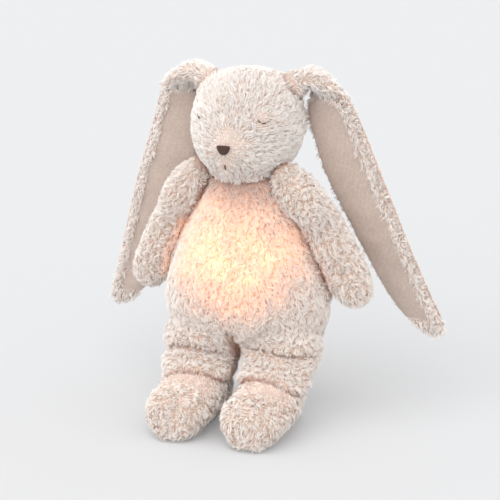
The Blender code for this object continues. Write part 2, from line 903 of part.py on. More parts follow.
def make_cover(unit):
    low = -housing_depth
    high = low + cover_depth - touch_gap
    cover = rod("back_cover", unit_radius, low, high, (0, 0), turn_steps * 2, white_plastic())
    place(cover, unit)
    cuts_low = low - cut_overrun
    cuts_high = high + cut_overrun
    for name, x, y in button_places():
        hole = rod(name + "_hole", button_radius + button_play, cuts_low, cuts_high, (x, y),
                   small_sides, group=cutters)
        combine(cover, place(as_cutter(hole), unit))
    for i, x, y in screw_places():
        hole = rod("cover_hole_" + str(i), screw_radius + touch_gap, cuts_low, cuts_high,
                   (x, y), screw_sides, group=cutters)
        combine(cover, place(as_cutter(hole), unit))
        sink = rod("cover_sink_" + str(i), screw_head_radius + touch_gap, cuts_low,
                   low + screw_head_depth + touch_gap, (x, y), screw_sides, group=cutters)
        combine(cover, place(as_cutter(sink), unit))
    for i in range(grille_ring_count + 1):
        turn = 2 * pi * i / grille_ring_count
        ring = grille_ring_radius if i < grille_ring_count else 0
        spot = (ring * cos(turn), speaker_rise + ring * sin(turn))
        hole = rod("grille_hole_" + str(i), grille_hole_radius, cuts_low, cuts_high, spot,
                   screw_sides, group=cutters)
        combine(cover, place(as_cutter(hole), unit))
    slot_sizes = (socket_width + touch_gap * 2, socket_height + touch_gap * 2,
                  cuts_high - cuts_low)
    slot = box("socket_slot", slot_sizes, (0, -socket_drop, (cuts_low + cuts_high) / 2),
               group=cutters)
    combine(cover, place(as_cutter(slot), unit))
    for side in (-1, 1):
        post = rod(side_name(side) + "_stand_off", stand_off_radius, high - cover_depth / 2,
                   key_board_back() - touch_gap, (side * stand_off_offset, -stand_off_drop),
                   small_sides, group=cutters)
        combine(cover, place(as_cutter(post), unit), "UNION")
    return cover


def button_inner_end():
    return -(housing_depth - cover_depth) + touch_gap + button_flange_depth


def switch_back():
    return button_inner_end() + button_travel + touch_gap


def key_board_back():
    return switch_back() + switch_depth + touch_gap


def make_button(name, x, y, unit):
    # the origin lies on the button's own axis, at its pressed face
    face = -(housing_depth + button_stand)
    stem_high = -(housing_depth - cover_depth) + touch_gap
    button = rod(name, button_radius, 0, button_inner_end() - face, (0, 0), small_sides,
                 button_plastic())
    place(button, unit, (x, y, face))
    flange = rod(name + "_flange", button_radius + button_play + button_flange,
                 stem_high - face, button_inner_end() - face, (0, 0), small_sides,
                 group=cutters)
    place(as_cutter(flange), unit, (x, y, face))
    combine(button, flange, "UNION")
    return button


def make_switch(name, x, y, unit):
    sizes = (switch_width, switch_width, switch_depth)
    switch = box(name + "_switch", sizes, (0, 0, 0), switch_plastic())
    return place(switch, unit, (x, y, switch_back() + switch_depth / 2))


def make_key_board(unit):
    low = key_board_back()
    height = key_board_top - key_board_bottom
    middle = (key_board_top + key_board_bottom) / 2
    board = box("button_board", (key_board_half_width * 2, height, key_board_depth),
                (0, middle, low + key_board_depth / 2), board_laminate())
    place(board, unit)
    rim = unit_radius - unit_wall - touch_gap
    disc = rod("button_board_trim", rim, low - cut_overrun, low + cut_overrun, (0, 0),
               turn_steps, group=cutters)
    combine(board, place(as_cutter(disc), unit), "INTERSECT")
    return board


def make_socket(unit):
    face = -(housing_depth - socket_inset)
    high = key_board_back() - touch_gap
    socket = box("charging_socket", (socket_width, socket_height, high - face),
                 (0, 0, (face + high) / 2), plated_steel())
    place(socket, unit, (0, -socket_drop, 0))
    mouth = box("socket_mouth",
                (socket_width - socket_wall * 2, socket_height - socket_wall * 2,
                 socket_depth), (0, 0, face), group=cutters)
    place(as_cutter(mouth), unit, (0, -socket_drop, 0))
    return combine(socket, mouth)


def make_main_board(unit):
    high = -board_set_back
    board = rod("main_board", board_radius, high - board_depth, high, (0, 0), turn_steps,
                board_laminate())
    return place(board, unit)


def make_led(index, unit):
    turn = 2 * pi * index / led_count
    low = -board_set_back + touch_gap
    lamp = box("led_" + str(index + 1), (led_width, led_width, led_depth), (0, 0, 0),
               lamp_resin())
    spot = (led_ring_radius * cos(turn), led_ring_radius * sin(turn), low + led_depth / 2)
    return place(lamp, unit, spot, (0, 0, turn))


def make_battery(unit):
    high = -(board_set_back + board_depth + touch_gap)
    cell = box("battery_cell", (battery_width, battery_height, battery_depth), (0, 0, 0),
               cell_foil())
    place(cell, unit, (0, 0, high - battery_depth / 2))
    rounding = cell.modifiers.new("round_edges", "BEVEL")
    rounding.width = battery_depth / 4
    rounding.segments = 2
    return cell


def make_speaker(unit):
    seat = -(housing_depth - cover_depth)
    back = speaker_radius * speaker_back_share
    profile = [(0, speaker_depth), (back, speaker_depth), (back, speaker_depth / 2),
               (speaker_radius, speaker_rim_depth), (speaker_radius, 0), (0, 0)]
    speaker = turned("speaker_driver", profile, small_sides, speaker_steel())
    return place(speaker, unit, (0, speaker_rise, seat))


def make_screw(index, x, y, unit):
    head_low = -housing_depth + touch_gap
    neck = head_low + screw_head_depth - touch_gap
    tip = head_low + screw_length
    profile = [(0, tip), (screw_radius, tip), (screw_radius, neck),
               (screw_head_radius, neck), (screw_head_radius, head_low), (0, head_low)]
    screw = turned("cover_screw_" + str(index + 1), profile, screw_sides, plated_steel())
    return place(screw, unit, (x, y, 0))


def make_light_unit(figure, torso):
    forward = flap_inner_depth - unit_stand_off - housing_depth
    unit = anchor("light_unit", figure, (0, forward, pocket_height), (radians(90), 0, 0))
    make_pocket(unit, torso)
    make_diffuser(unit)
    make_housing(unit)
    make_cover(unit)
    make_main_board(unit)
    for i in range(led_count):
        make_led(i, unit)
    make_battery(unit)
    make_speaker(unit)
    make_key_board(unit)
    for name, x, y in button_places():
        make_button(name, x, y, unit)
        make_switch(name, x, y, unit)
    make_socket(unit)
    for i, x, y in screw_places():
        make_screw(i, x, y, unit)


def make_floor_cut(figure):
    thickness = foot_height
    sizes = (hip_half_width * 4, foot_length * 3, thickness)
    floor = box("floor_cut", sizes, (0, 0, -thickness / 2), group=cutters)
    return place(as_cutter(floor), figure)


def build():
    figure = anchor("figure", None, (0, trunk_y, 0))
    torso = make_torso(figure)
    torso_form = grown_copy(torso, 0, "torso_form")
    torso_shell = grown_copy(torso, fabric_gap, "torso_shell")
    head, head_shell = make_head(figure, torso_shell)
    make_nose(figure, head_shell)
    make_mouth(figure, head_shell)
    floor = make_floor_cut(figure)
    for side in (1, -1):
        make_eye(side, figure, head_shell)
        make_ear(side, figure, head, head_shell)
        make_arm(side, figure, head)
        hinge, leg = make_leg(side, figure, torso)
        make_foot(side, hinge, leg, floor)
    make_flap(figure, torso, torso_form)
    make_light_unit(figure, torso)


build()
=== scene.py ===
from math import cos, pi, radians, sin

import bmesh
import bpy
import numpy as np
from mathutils import Matrix, Vector
from mathutils.bvhtree import BVHTree
from mathutils.kdtree import KDTree


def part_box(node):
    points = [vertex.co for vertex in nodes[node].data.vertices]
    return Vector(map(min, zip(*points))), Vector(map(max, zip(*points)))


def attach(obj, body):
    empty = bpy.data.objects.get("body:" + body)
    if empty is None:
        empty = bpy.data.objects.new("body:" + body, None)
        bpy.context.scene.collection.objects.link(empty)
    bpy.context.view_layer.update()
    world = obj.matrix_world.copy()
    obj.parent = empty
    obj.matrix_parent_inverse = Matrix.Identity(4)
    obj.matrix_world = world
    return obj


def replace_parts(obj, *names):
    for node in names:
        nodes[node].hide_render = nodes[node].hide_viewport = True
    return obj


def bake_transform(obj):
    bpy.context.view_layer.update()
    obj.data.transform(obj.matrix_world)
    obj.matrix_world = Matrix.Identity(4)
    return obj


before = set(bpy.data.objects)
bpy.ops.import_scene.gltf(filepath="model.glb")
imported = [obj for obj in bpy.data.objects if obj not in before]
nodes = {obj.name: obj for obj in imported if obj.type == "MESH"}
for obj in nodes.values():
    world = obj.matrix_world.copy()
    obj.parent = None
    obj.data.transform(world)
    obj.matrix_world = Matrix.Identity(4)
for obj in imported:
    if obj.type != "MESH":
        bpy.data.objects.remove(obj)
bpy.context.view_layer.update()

scene = bpy.context.scene
scene.view_settings.view_transform = "Standard"


# Tools for objects and node trees

bothSides = ((1, "left"), (-1, "right"))


def addObject(name, data):
    thing = bpy.data.objects.new(name, data)
    scene.collection.objects.link(thing)
    return thing


def meshFrom(shell, name):
    mesh = bpy.data.meshes.new(name)
    shell.to_mesh(mesh)
    shell.free()
    return mesh


def addNode(tree, kind, inputs=None, **settings):
    # an input takes a plain value or another node's output
    node = tree.nodes.new(kind)
    for key, value in settings.items():
        setattr(node, key, value)
    for key, value in (inputs or {}).items():
        if isinstance(value, bpy.types.NodeSocket):
            tree.links.new(value, node.inputs[key])
        else:
            node.inputs[key].default_value = value
    return node


def mathNode(tree, operation, first, second=0.0, third=0.0, clamp=False):
    return addNode(tree, "ShaderNodeMath", {0: first, 1: second, 2: third},
                   operation=operation, use_clamp=clamp).outputs[0]


def mixColour(tree, share, first, second, how="MIX"):
    # inputs 0, 6 and 7 of this node are the share and the two colours
    return addNode(tree, "ShaderNodeMix", {0: share, 6: first, 7: second},
                   data_type="RGBA", blend_type=how, clamp_factor=True).outputs[2]


def rampNode(tree, source, low, high, smooth=True):
    return addNode(tree, "ShaderNodeMapRange", {"Value": source, "From Min": low, "From Max": high},
                   interpolation_type="SMOOTHSTEP" if smooth else "LINEAR").outputs["Result"]


def attributeNode(tree, name):
    return addNode(tree, "ShaderNodeAttribute", attribute_name=name).outputs["Fac"]


def noiseNode(tree, scale, detail, distortion=0.0):
    place = addNode(tree, "ShaderNodeTexCoord").outputs["Object"]
    return addNode(tree, "ShaderNodeTexNoise", {"Vector": place, "Scale": scale, "Detail": detail,
                                                "Distortion": distortion}).outputs["Fac"]


def spread(tree, value, share, base=1.0):
    # base, moved up or down by a share of how far value is from 0.5
    return mathNode(tree, "MULTIPLY_ADD", mathNode(tree, "SUBTRACT", value, 0.5), share, base)


def dimmed(tree, colour, value):
    grey = addNode(tree, "ShaderNodeCombineColor", {"Red": value, "Green": value, "Blue": value})
    return mixColour(tree, 1.0, colour, grey.outputs["Color"], "MULTIPLY")


# Camera, lamps and floor

view = {
    "azimuth": 20.5,            # degrees round the rabbit, to its left side
    "elevation": 15.0,
    "distance": 1.5,
    "metresPerPixel": 0.00092,  # at the trunk
    "aimHeight": 0.1552,
    "aimAcross": 0.0018,
    "aimBack": 0.019,           # the trunk's axis
    "imageWidth": 500,
    "sensor": 36,
}


def makeCamera(v):
    turn = radians(v["azimuth"])
    tilt = radians(v["elevation"])
    across = Vector((cos(turn), sin(turn), 0))
    toCamera = Vector((sin(turn) * cos(tilt), -cos(turn) * cos(tilt), sin(tilt)))
    aim = Vector((0, v["aimBack"], v["aimHeight"])) + across * v["aimAcross"]
    lens = bpy.data.cameras.new("photoCamera")
    lens.sensor_width = v["sensor"]
    lens.lens = v["sensor"] * v["distance"] / (v["imageWidth"] * v["metresPerPixel"])
    camera = addObject("photoCamera", lens)
    camera.location = aim + toCamera * v["distance"]
    camera.rotation_euler = (-toCamera).to_track_quat("-Z", "Y").to_euler()
    scene.camera = camera


studio = {
    "worldStrength": 0.75,
    "lamps": {                  # height and turn to the camera's left in degrees, strength, softness
        "keyLamp": (47, 34, 1.80, 80),
        "fillLamp": (26, -40, 0.50, 90),
    },
    "floorSize": 40.0,
    "floorColour": (0.560, 0.566, 0.576),
    "floorRoughness": 0.9,
    "floorShine": 0.1,
    "floorGlow": 0.16,          # paleness that only the camera sees, so that no light comes from the floor
    "background": (0.80, 0.80, 0.805),
}


def seenRays(tree):
    # 1 where the camera sees a surface, straight or in metal and glass, and 0 for the light it gives
    rays = addNode(tree, "ShaderNodeLightPath").outputs
    seen = mathNode(tree, "MAXIMUM", rays["Is Camera Ray"], rays["Is Glossy Ray"])
    return mathNode(tree, "MAXIMUM", seen, rays["Is Transmission Ray"])


def makeStudio(s):
    world = bpy.data.worlds.new("paleStudio")
    world.use_nodes = True
    tree = world.node_tree
    light = tree.nodes["Background"]
    light.inputs["Color"].default_value = (1, 1, 1, 1)
    light.inputs["Strength"].default_value = s["worldStrength"]
    seen = tree.nodes.new("ShaderNodeBackground")
    seen.inputs["Color"].default_value = (*s["background"], 1)
    mix = tree.nodes.new("ShaderNodeMixShader")
    tree.links.new(seenRays(tree), mix.inputs[0])
    tree.links.new(light.outputs[0], mix.inputs[1])
    tree.links.new(seen.outputs[0], mix.inputs[2])
    tree.links.new(mix.outputs[0], tree.nodes["World Output"].inputs["Surface"])
    scene.world = world
    for name, (height, turn, strength, softness) in s["lamps"].items():
        lamp = bpy.data.lights.new(name, "SUN")
        lamp.energy = strength
        lamp.angle = radians(softness)
        holder = addObject(name, lamp)
        tilt = radians(height)
        side = radians(view["azimuth"] - turn)
        toLamp = Vector((sin(side) * cos(tilt), -cos(side) * cos(tilt), sin(tilt)))
        holder.rotation_euler = (-toLamp).to_track_quat("-Z", "Y").to_euler()
    shell = bmesh.new()
    bmesh.ops.create_grid(shell, x_segments=1, y_segments=1, size=s["floorSize"] / 2)
    floor = addObject("paleFloor", meshFrom(shell, "paleFloor"))
    finish = bpy.data.materials.new("palePaper")
    finish.use_nodes = True
    tree = finish.node_tree
    shader = tree.nodes["Principled BSDF"]
    shader.inputs["Base Color"].default_value = (*s["floorColour"], 1)
    shader.inputs["Roughness"].default_value = s["floorRoughness"]
    shader.inputs["Specular IOR Level"].default_value = s["floorShine"]
    shader.inputs["Emission Color"].default_value = (1, 1, 1, 1)
    glow = mathNode(tree, "MULTIPLY", seenRays(tree), s["floorGlow"])
    tree.links.new(glow, shader.inputs["Emission Strength"])
    floor.data.materials.append(finish)


print("camera and studio")
makeCamera(view)
makeStudio(studio)


# Node groups that several finishes use

def newGroup(name, numbersIn, coloursIn, numbersOut, coloursOut):
    group = bpy.data.node_groups.new(name, "ShaderNodeTree")
    for label, value in numbersIn.items():
        socket = group.interface.new_socket(label, in_out="INPUT", socket_type="NodeSocketFloat")
        socket.default_value = value
    for label, value in coloursIn.items():
        socket = group.interface.new_socket(label, in_out="INPUT", socket_type="NodeSocketColor")
        socket.default_value = (*value, 1)
    for label in numbersOut:
        group.interface.new_socket(label, in_out="OUTPUT", socket_type="NodeSocketFloat")
    for label in coloursOut:
        group.interface.new_socket(label, in_out="OUTPUT", socket_type="NodeSocketColor")
    return group, group.nodes.new("NodeGroupInput"), group.nodes.new("NodeGroupOutput")


def makePileShade():
    # root to tip colour of one tuft, the darker root being painted shade down among the tufts,
    # with its own tone, slow patches over the cloth, and painted shade beside seams and folds
    group, inlet, outlet = newGroup(
        "pileShade", {"Patch Size": 40.0, "Patch Share": 0.25, "Tone Share": 0.3},
        {"Root": (0.3, 0.2, 0.16), "Middle": (0.6, 0.5, 0.45), "Tip": (0.9, 0.8, 0.75),
         "Painted Seam Shade": (0.8, 0.7, 0.6)},
        ["Rise"], ["Color"])
    given = inlet.outputs
    rise = attributeNode(group, "rise")
    low = mixColour(group, rampNode(group, rise, 0.0, 0.45), given["Root"], given["Middle"])
    strand = mixColour(group, rampNode(group, rise, 0.35, 1.0), low, given["Tip"])
    patch = spread(group, noiseNode(group, given["Patch Size"], 2.0), given["Patch Share"])
    tone = spread(group, attributeNode(group, "tone"), given["Tone Share"])
    shaded = dimmed(group, strand, mathNode(group, "MULTIPLY", patch, tone))
    paintedLightTinted = mixColour(group, 1.0, shaded, given["Painted Seam Shade"], "MULTIPLY")
    shaded = mixColour(group, attributeNode(group, "shade"), shaded, paintedLightTinted)
    group.links.new(shaded, outlet.inputs["Color"])
    group.links.new(rise, outlet.inputs["Rise"])
    return group


def makeBellyGlow():
    # the lamp behind the cloth: how much of it comes through, and its colour there
    group, inlet, outlet = newGroup(
        "bellyGlow", {"Streak Size": 300.0, "Streak Share": 0.60, "Tone Share": 0.36}, {},
        ["Mask"], ["Color"])
    given = inlet.outputs
    warm = attributeNode(group, "warm")
    streak = spread(group, noiseNode(group, given["Streak Size"], 3.0, 1.2), 1.0, 0.0)
    both = spread(group, noiseNode(group, 38.0, 2.0), 0.8, streak)
    uneven = mathNode(group, "MULTIPLY_ADD", both, given["Streak Share"], warm)
    uneven = spread(group, attributeNode(group, "tone"), given["Tone Share"], uneven)
    mask = mathNode(group, "MULTIPLY", rampNode(group, uneven, 0.0, 0.95, smooth=False),
                    rampNode(group, warm, 0.0, 0.24))
    ramp = addNode(group, "ShaderNodeValToRGB", {"Fac": uneven})
    marks = ((0.0, (0.80, 0.14, 0.03)), (0.20, (1.0, 0.30, 0.07)), (0.36, (1.0, 0.46, 0.16)),
             (0.52, (1.0, 0.68, 0.36)), (0.74, (1.0, 0.82, 0.44)), (1.0, (1.0, 0.90, 0.26)))
    colours = ramp.color_ramp.elements
    while len(colours) < len(marks):
        colours.new(0.5)
    for element, (spot, colour) in zip(colours, marks):
        element.position = spot
        element.color = (*colour, 1)
    group.links.new(mask, outlet.inputs["Mask"])
    group.links.new(ramp.outputs["Color"], outlet.inputs["Color"])
    return group


def makeFineGrain():
    # small colour and height changes of moulded or rolled surfaces
    group, inlet, outlet = newGroup("fineGrain", {"Scale": 400.0, "Share": 0.1},
                                    {"Colour": (0.8, 0.8, 0.8)}, ["Height"], ["Color"])
    given = inlet.outputs
    grain = noiseNode(group, given["Scale"], 4.0)
    slow = noiseNode(group, 60.0, 2.0)
    both = mathNode(group, "MULTIPLY", mathNode(group, "ADD", grain, slow), 0.5)
    group.links.new(dimmed(group, given["Colour"], spread(group, both, given["Share"])),
                    outlet.inputs["Color"])
    group.links.new(grain, outlet.inputs["Height"])
    return group


def makeClothWeave():
    # crossing threads: their height, and a colour that is darker between them, painted shade in the weave's
    # hollows
    group, inlet, outlet = newGroup(
        "clothWeave", {"Threads": 900.0, "Stretch": 1.0, "Depth": 0.35, "Grain Size": 900.0},
        {"Colour": (0.6, 0.5, 0.45)}, ["Height"], ["Color"])
    given = inlet.outputs
    place = addNode(group, "ShaderNodeTexCoord").outputs["Object"]
    split = addNode(group, "ShaderNodeSeparateXYZ", {"Vector": place})
    wander = noiseNode(group, 55.0, 2.0)
    upright = mathNode(group, "MULTIPLY_ADD", split.outputs["X"], given["Threads"],
                       mathNode(group, "MULTIPLY", wander, 5.0))
    level = mathNode(group, "MULTIPLY_ADD", split.outputs["Z"],
                     mathNode(group, "MULTIPLY", given["Threads"], given["Stretch"]),
                     mathNode(group, "MULTIPLY", wander, 4.0))
    first = mathNode(group, "MULTIPLY_ADD", mathNode(group, "SINE", upright), 0.5, 0.5)
    second = mathNode(group, "MULTIPLY_ADD", mathNode(group, "SINE", level), 0.5, 0.5)
    height = mathNode(group, "MULTIPLY_ADD", second, 0.45, mathNode(group, "MULTIPLY", first, 0.55))
    height = mathNode(group, "MULTIPLY_ADD", noiseNode(group, given["Grain Size"], 3.0), 0.5,
                      mathNode(group, "MULTIPLY", height, 0.6))
    shade = mathNode(group, "MULTIPLY_ADD", mathNode(group, "SUBTRACT", height, 0.55), given["Depth"], 1.0)
    shade = spread(group, noiseNode(group, 38.0, 3.0), 0.22, shade)
    group.links.new(dimmed(group, given["Colour"], shade), outlet.inputs["Color"])
    group.links.new(height, outlet.inputs["Height"])
    return group


groups = {
    "pileShade": makePileShade(),
    "bellyGlow": makeBellyGlow(),
    "fineGrain": makeFineGrain(),
    "clothWeave": makeClothWeave(),
}


# Finishes

def newFinish(name, roughness, metallic=0.0):
    finish = bpy.data.materials.new(name)
    finish.use_nodes = True
    shader = finish.node_tree.nodes["Principled BSDF"]
    shader.inputs["Roughness"].default_value = roughness
    shader.inputs["Metallic"].default_value = metallic
    return finish, finish.node_tree, shader


def useGroup(tree, name, numbers=None, colours=None):
    node = tree.nodes.new("ShaderNodeGroup")
    node.node_tree = groups[name]
    for label, value in (numbers or {}).items():
        node.inputs[label].default_value = value
    for label, value in (colours or {}).items():
        node.inputs[label].default_value = (*value, 1)
    return node


def addBump(tree, shader, height, strength, distance):
    bump = addNode(tree, "ShaderNodeBump", {"Strength": strength, "Distance": distance, "Height": height})
    tree.links.new(bump.outputs["Normal"], shader.inputs["Normal"])


# a tuft's colours from root to tip; the darker, warmer root is painted shade down among the tufts
pileColours = {
    "Root": (0.88, 0.69, 0.58),
    "Middle": (0.94, 0.840, 0.768),
    "Tip": (0.980, 0.950, 0.924),
    "Painted Seam Shade": (0.62, 0.42, 0.35),    # beside a seam or a fold, where less light gets in
}
# a paler copy of the pile for the head and ears: painted light, as these upper parts catch more of the lamps'
# light than the body
palePileColours = {
    **pileColours,
    "Root": (0.895, 0.745, 0.655),
    "Middle": (0.948, 0.872, 0.815),
    "Tip": (0.984, 0.962, 0.942),
}

glowLook = {
    "strength": 0.78,
    "tipShare": 0.30,           # of the light at the root that is left at a tuft's tip
    # the cloth's colour is multiplied by this where the lamp shines through: painted light
    "glowTint": (0.975, 0.85, 0.75),
    "glowTintShare": 1.2,
    "foldLoss": 0.6,            # how much of the light a seam or a fold keeps back
}


def addGlow(tree, shader, colour, rise):
    glow = useGroup(tree, "bellyGlow")
    unfolded = mathNode(tree, "MULTIPLY_ADD", attributeNode(tree, "shade"), -glowLook["foldLoss"], 1.0)
    lit = mathNode(tree, "MULTIPLY", glow.outputs["Mask"], unfolded)
    # painted light: the cloth's colour made warmer where the lamp shines through
    paintedLightTinted = mixColour(tree, 1.0, colour, (*glowLook["glowTint"], 1), "MULTIPLY")
    glowTintShare = mathNode(tree, "MULTIPLY", lit, glowLook["glowTintShare"], clamp=True)
    colour = mixColour(tree, glowTintShare, colour, paintedLightTinted)
    if rise:
        lowShare = mathNode(tree, "MULTIPLY_ADD", rise, glowLook["tipShare"] - 1, 1.0)
        lit = mathNode(tree, "MULTIPLY", lit, lowShare)
    tree.links.new(dimmed(tree, glow.outputs["Color"], lit), shader.inputs["Emission Color"])
    shader.inputs["Emission Strength"].default_value = glowLook["strength"]
    return colour


def pileFinish(name, colours):
    finish, tree, shader = newFinish(name, 0.92)
    shader.inputs["Specular IOR Level"].default_value = 0.1
    shader.inputs["Sheen Weight"].default_value = 0.2
    shader.inputs["Sheen Roughness"].default_value = 0.5
    shade = useGroup(tree, "pileShade", {"Patch Size": 45.0, "Patch Share": 0.10, "Tone Share": 0.12},
                     colours)
    colour = addGlow(tree, shader, shade.outputs["Color"], shade.outputs["Rise"])
    tree.links.new(colour, shader.inputs["Base Color"])
    return finish


def backingFinish(name, colour):
    # the knitted cloth that the pile stands on
    finish, tree, shader = newFinish(name, 0.95)
    shader.inputs["Specular IOR Level"].default_value = 0.1
    weave = useGroup(tree, "clothWeave", {"Threads": 2400.0, "Depth": 0.35}, {"Colour": colour})
    tree.links.new(addGlow(tree, shader, weave.outputs["Color"], None), shader.inputs["Base Color"])
    addBump(tree, shader, weave.outputs["Height"], 0.4, 0.0004)
    return finish


def clothFinish(name, colour, threads, depth, bump, sheen=0.3, stretch=1.0, grain=900.0):
    finish, tree, shader = newFinish(name, 0.9)
    shader.inputs["Specular IOR Level"].default_value = 0.15
    shader.inputs["Sheen Weight"].default_value = sheen
    shader.inputs["Sheen Roughness"].default_value = 0.45
    weave = useGroup(tree, "clothWeave", {"Threads": threads, "Depth": depth, "Stretch": stretch,
                                          "Grain Size": grain}, {"Colour": colour})
    tree.links.new(weave.outputs["Color"], shader.inputs["Base Color"])
    addBump(tree, shader, weave.outputs["Height"], 0.5, bump)
    return finish


def mouldedFinish(name, colour, roughness, grain=500.0, share=0.08, metallic=0.0, bump=0.00004):
    finish, tree, shader = newFinish(name, roughness, metallic)
    look = useGroup(tree, "fineGrain", {"Scale": grain, "Share": share}, {"Colour": colour})
    tree.links.new(look.outputs["Color"], shader.inputs["Base Color"])
    addBump(tree, shader, look.outputs["Height"], 0.35, bump)
    return finish


print("finishes")
finishes = {
    "pile": pileFinish("oatmealPile", pileColours),
    "palePile": pileFinish("paleOatmealPile", palePileColours),
    "backing": backingFinish("pileBacking", (0.72, 0.56, 0.48)),
    "lining": clothFinish("ribbedVelour", (0.642, 0.520, 0.455), 5200.0, 0.75, 0.0006, 0.3, 1.6, 400.0),
    "pocket": clothFinish("pocketCloth", (0.62, 0.54, 0.48), 3000.0, 0.35, 0.0003),
    "felt": clothFinish("brownFelt", (0.078, 0.045, 0.034), 3800.0, 0.5, 0.0002, 0.5),
    "thread": clothFinish("brownThread", (0.125, 0.078, 0.058), 6000.0, 0.5, 0.0001, 0.2),
    "tape": clothFinish("fastenerTape", (0.60, 0.54, 0.49), 5200.0, 0.4, 0.0002),
    "frosted": mouldedFinish("frostedPlastic", (0.93, 0.88, 0.76), 0.45),
    "white": mouldedFinish("whitePlastic", (0.80, 0.79, 0.76), 0.42),
    "button": mouldedFinish("buttonPlastic", (0.60, 0.56, 0.52), 0.5, 700.0),
    "board": mouldedFinish("boardLaminate", (0.05, 0.21, 0.10), 0.45, 900.0, 0.3),
    "resin": mouldedFinish("lampResin", (0.93, 0.84, 0.46), 0.3, 900.0),
    "foil": mouldedFinish("cellFoil", (0.56, 0.57, 0.59), 0.35, 300.0, 0.15, 0.8),
    "steel": mouldedFinish("platedSteel", (0.62, 0.62, 0.63), 0.3, 600.0, 0.12, 1.0),
    "speaker": mouldedFinish("speakerSteel", (0.19, 0.19, 0.20), 0.42, 500.0, 0.2, 0.7),
    "switch": mouldedFinish("switchPlastic", (0.055, 0.055, 0.055), 0.5, 700.0, 0.2),
}


# Mesh tools

def addStep(piece, kind, **settings):
    step = piece.modifiers.new(kind.lower(), kind)
    for key, value in settings.items():
        setattr(step, key, value)
    return step


def settle(piece):
    # the modifiers' result becomes the piece's own mesh
    bpy.context.view_layer.update()
    graph = bpy.context.evaluated_depsgraph_get()
    mesh = bpy.data.meshes.new_from_object(piece.evaluated_get(graph))
    piece.modifiers.clear()
    old = piece.data
    piece.data = mesh
    bpy.data.meshes.remove(old)
    return piece


def newPiece(name, mesh, finishName, body):
    piece = addObject(name, mesh)
    mesh.materials.clear()
    mesh.materials.append(finishes[finishName])
    if body:
        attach(piece, body)
    return piece


def copyOf(name, nodeNames):
    shell = bmesh.new()
    for nodeName in nodeNames:
        shell.from_mesh(nodes[nodeName].data)
    bmesh.ops.remove_doubles(shell, verts=shell.verts, dist=0.000001)
    return addObject(name, meshFrom(shell, name))


def placesOf(mesh):
    flat = np.empty(len(mesh.vertices) * 3)
    mesh.vertices.foreach_get("co", flat)
    return flat.reshape(-1, 3)


def outwardOf(mesh):
    flat = np.empty(len(mesh.vertices) * 3)
    mesh.vertex_normals.foreach_get("vector", flat)
    return flat.reshape(-1, 3)


def setPlaces(mesh, places):
    mesh.vertices.foreach_set("co", np.ascontiguousarray(places).ravel())
    mesh.update()


def keepVertices(mesh, keep):
    shell = bmesh.new()
    shell.from_mesh(mesh)
    shell.verts.ensure_lookup_table()
    dropped = [shell.verts[i] for i in np.nonzero(~keep)[0]]
    bmesh.ops.delete(shell, geom=dropped, context="VERTS")
    shell.to_mesh(mesh)
    shell.free()


def easeIn(value, low, high):
    share = np.clip((value - low) / (high - low), 0, 1)
    return share * share * (3 - 2 * share)


def softSkin(name, nodeNames, voxel, fill, rounds, lumps=0.0, lumpSize=0.03, swell=None):
    # one smooth closed form round the solids, with narrow gaps between them filled
    piece = copyOf(name, nodeNames)
    if swell:
        shell = bmesh.new()
        shell.from_mesh(piece.data)
        place, reach, tilt = swell
        turn = Matrix.Rotation(radians(tilt), 4, "Y").to_quaternion()
        bmesh.ops.create_icosphere(shell, subdivisions=4, radius=1.0,
                                   matrix=Matrix.LocRotScale(Vector(place), turn, Vector(reach)))
        shell.to_mesh(piece.data)
        shell.free()
    addStep(piece, "REMESH", mode="VOXEL", voxel_size=voxel)
    if fill:
        addStep(piece, "DISPLACE", strength=fill, mid_level=0)
        addStep(piece, "REMESH", mode="VOXEL", voxel_size=voxel)
        piece.modifiers[-1].name = "again"
        addStep(piece, "DISPLACE", strength=-fill, mid_level=0)
        addStep(piece, "REMESH", mode="VOXEL", voxel_size=voxel)
    addStep(piece, "SMOOTH", factor=0.5, iterations=rounds)
    if lumps:
        clouds = bpy.data.textures.new(name + "Lumps", "CLOUDS")
        clouds.noise_scale = lumpSize
        addStep(piece, "DISPLACE", strength=lumps, mid_level=0.5, texture=clouds)
    return settle(piece)


def solidTree(nodeNames):
    points = []
    faces = []
    for name in nodeNames:
        mesh = nodes[name].data
        base = len(points)
        points.extend(v.co.copy() for v in mesh.vertices)
        faces.extend(tuple(i + base for i in p.vertices) for p in mesh.polygons)
    return BVHTree.FromPolygons(points, faces)


def nearestOf(places, tree):
    return np.array([tree.find_nearest(Vector(place))[3] for place in places])


def inside(place, tree):
    # a ray that leaves a closed solid meets the back of its skin
    up = Vector((0.13, 0.21, 1.0))
    hit, normal, _, _ = tree.ray_cast(Vector(place), up)
    return hit is not None and normal.dot(up) > 0


def inTheWay(places, outward, tree, reach):
    # which places look straight at the solid within reach
    return np.array([tree.ray_cast(Vector(a), Vector(b), reach)[0] is not None
                     for a, b in zip(places, outward)])


# Fur

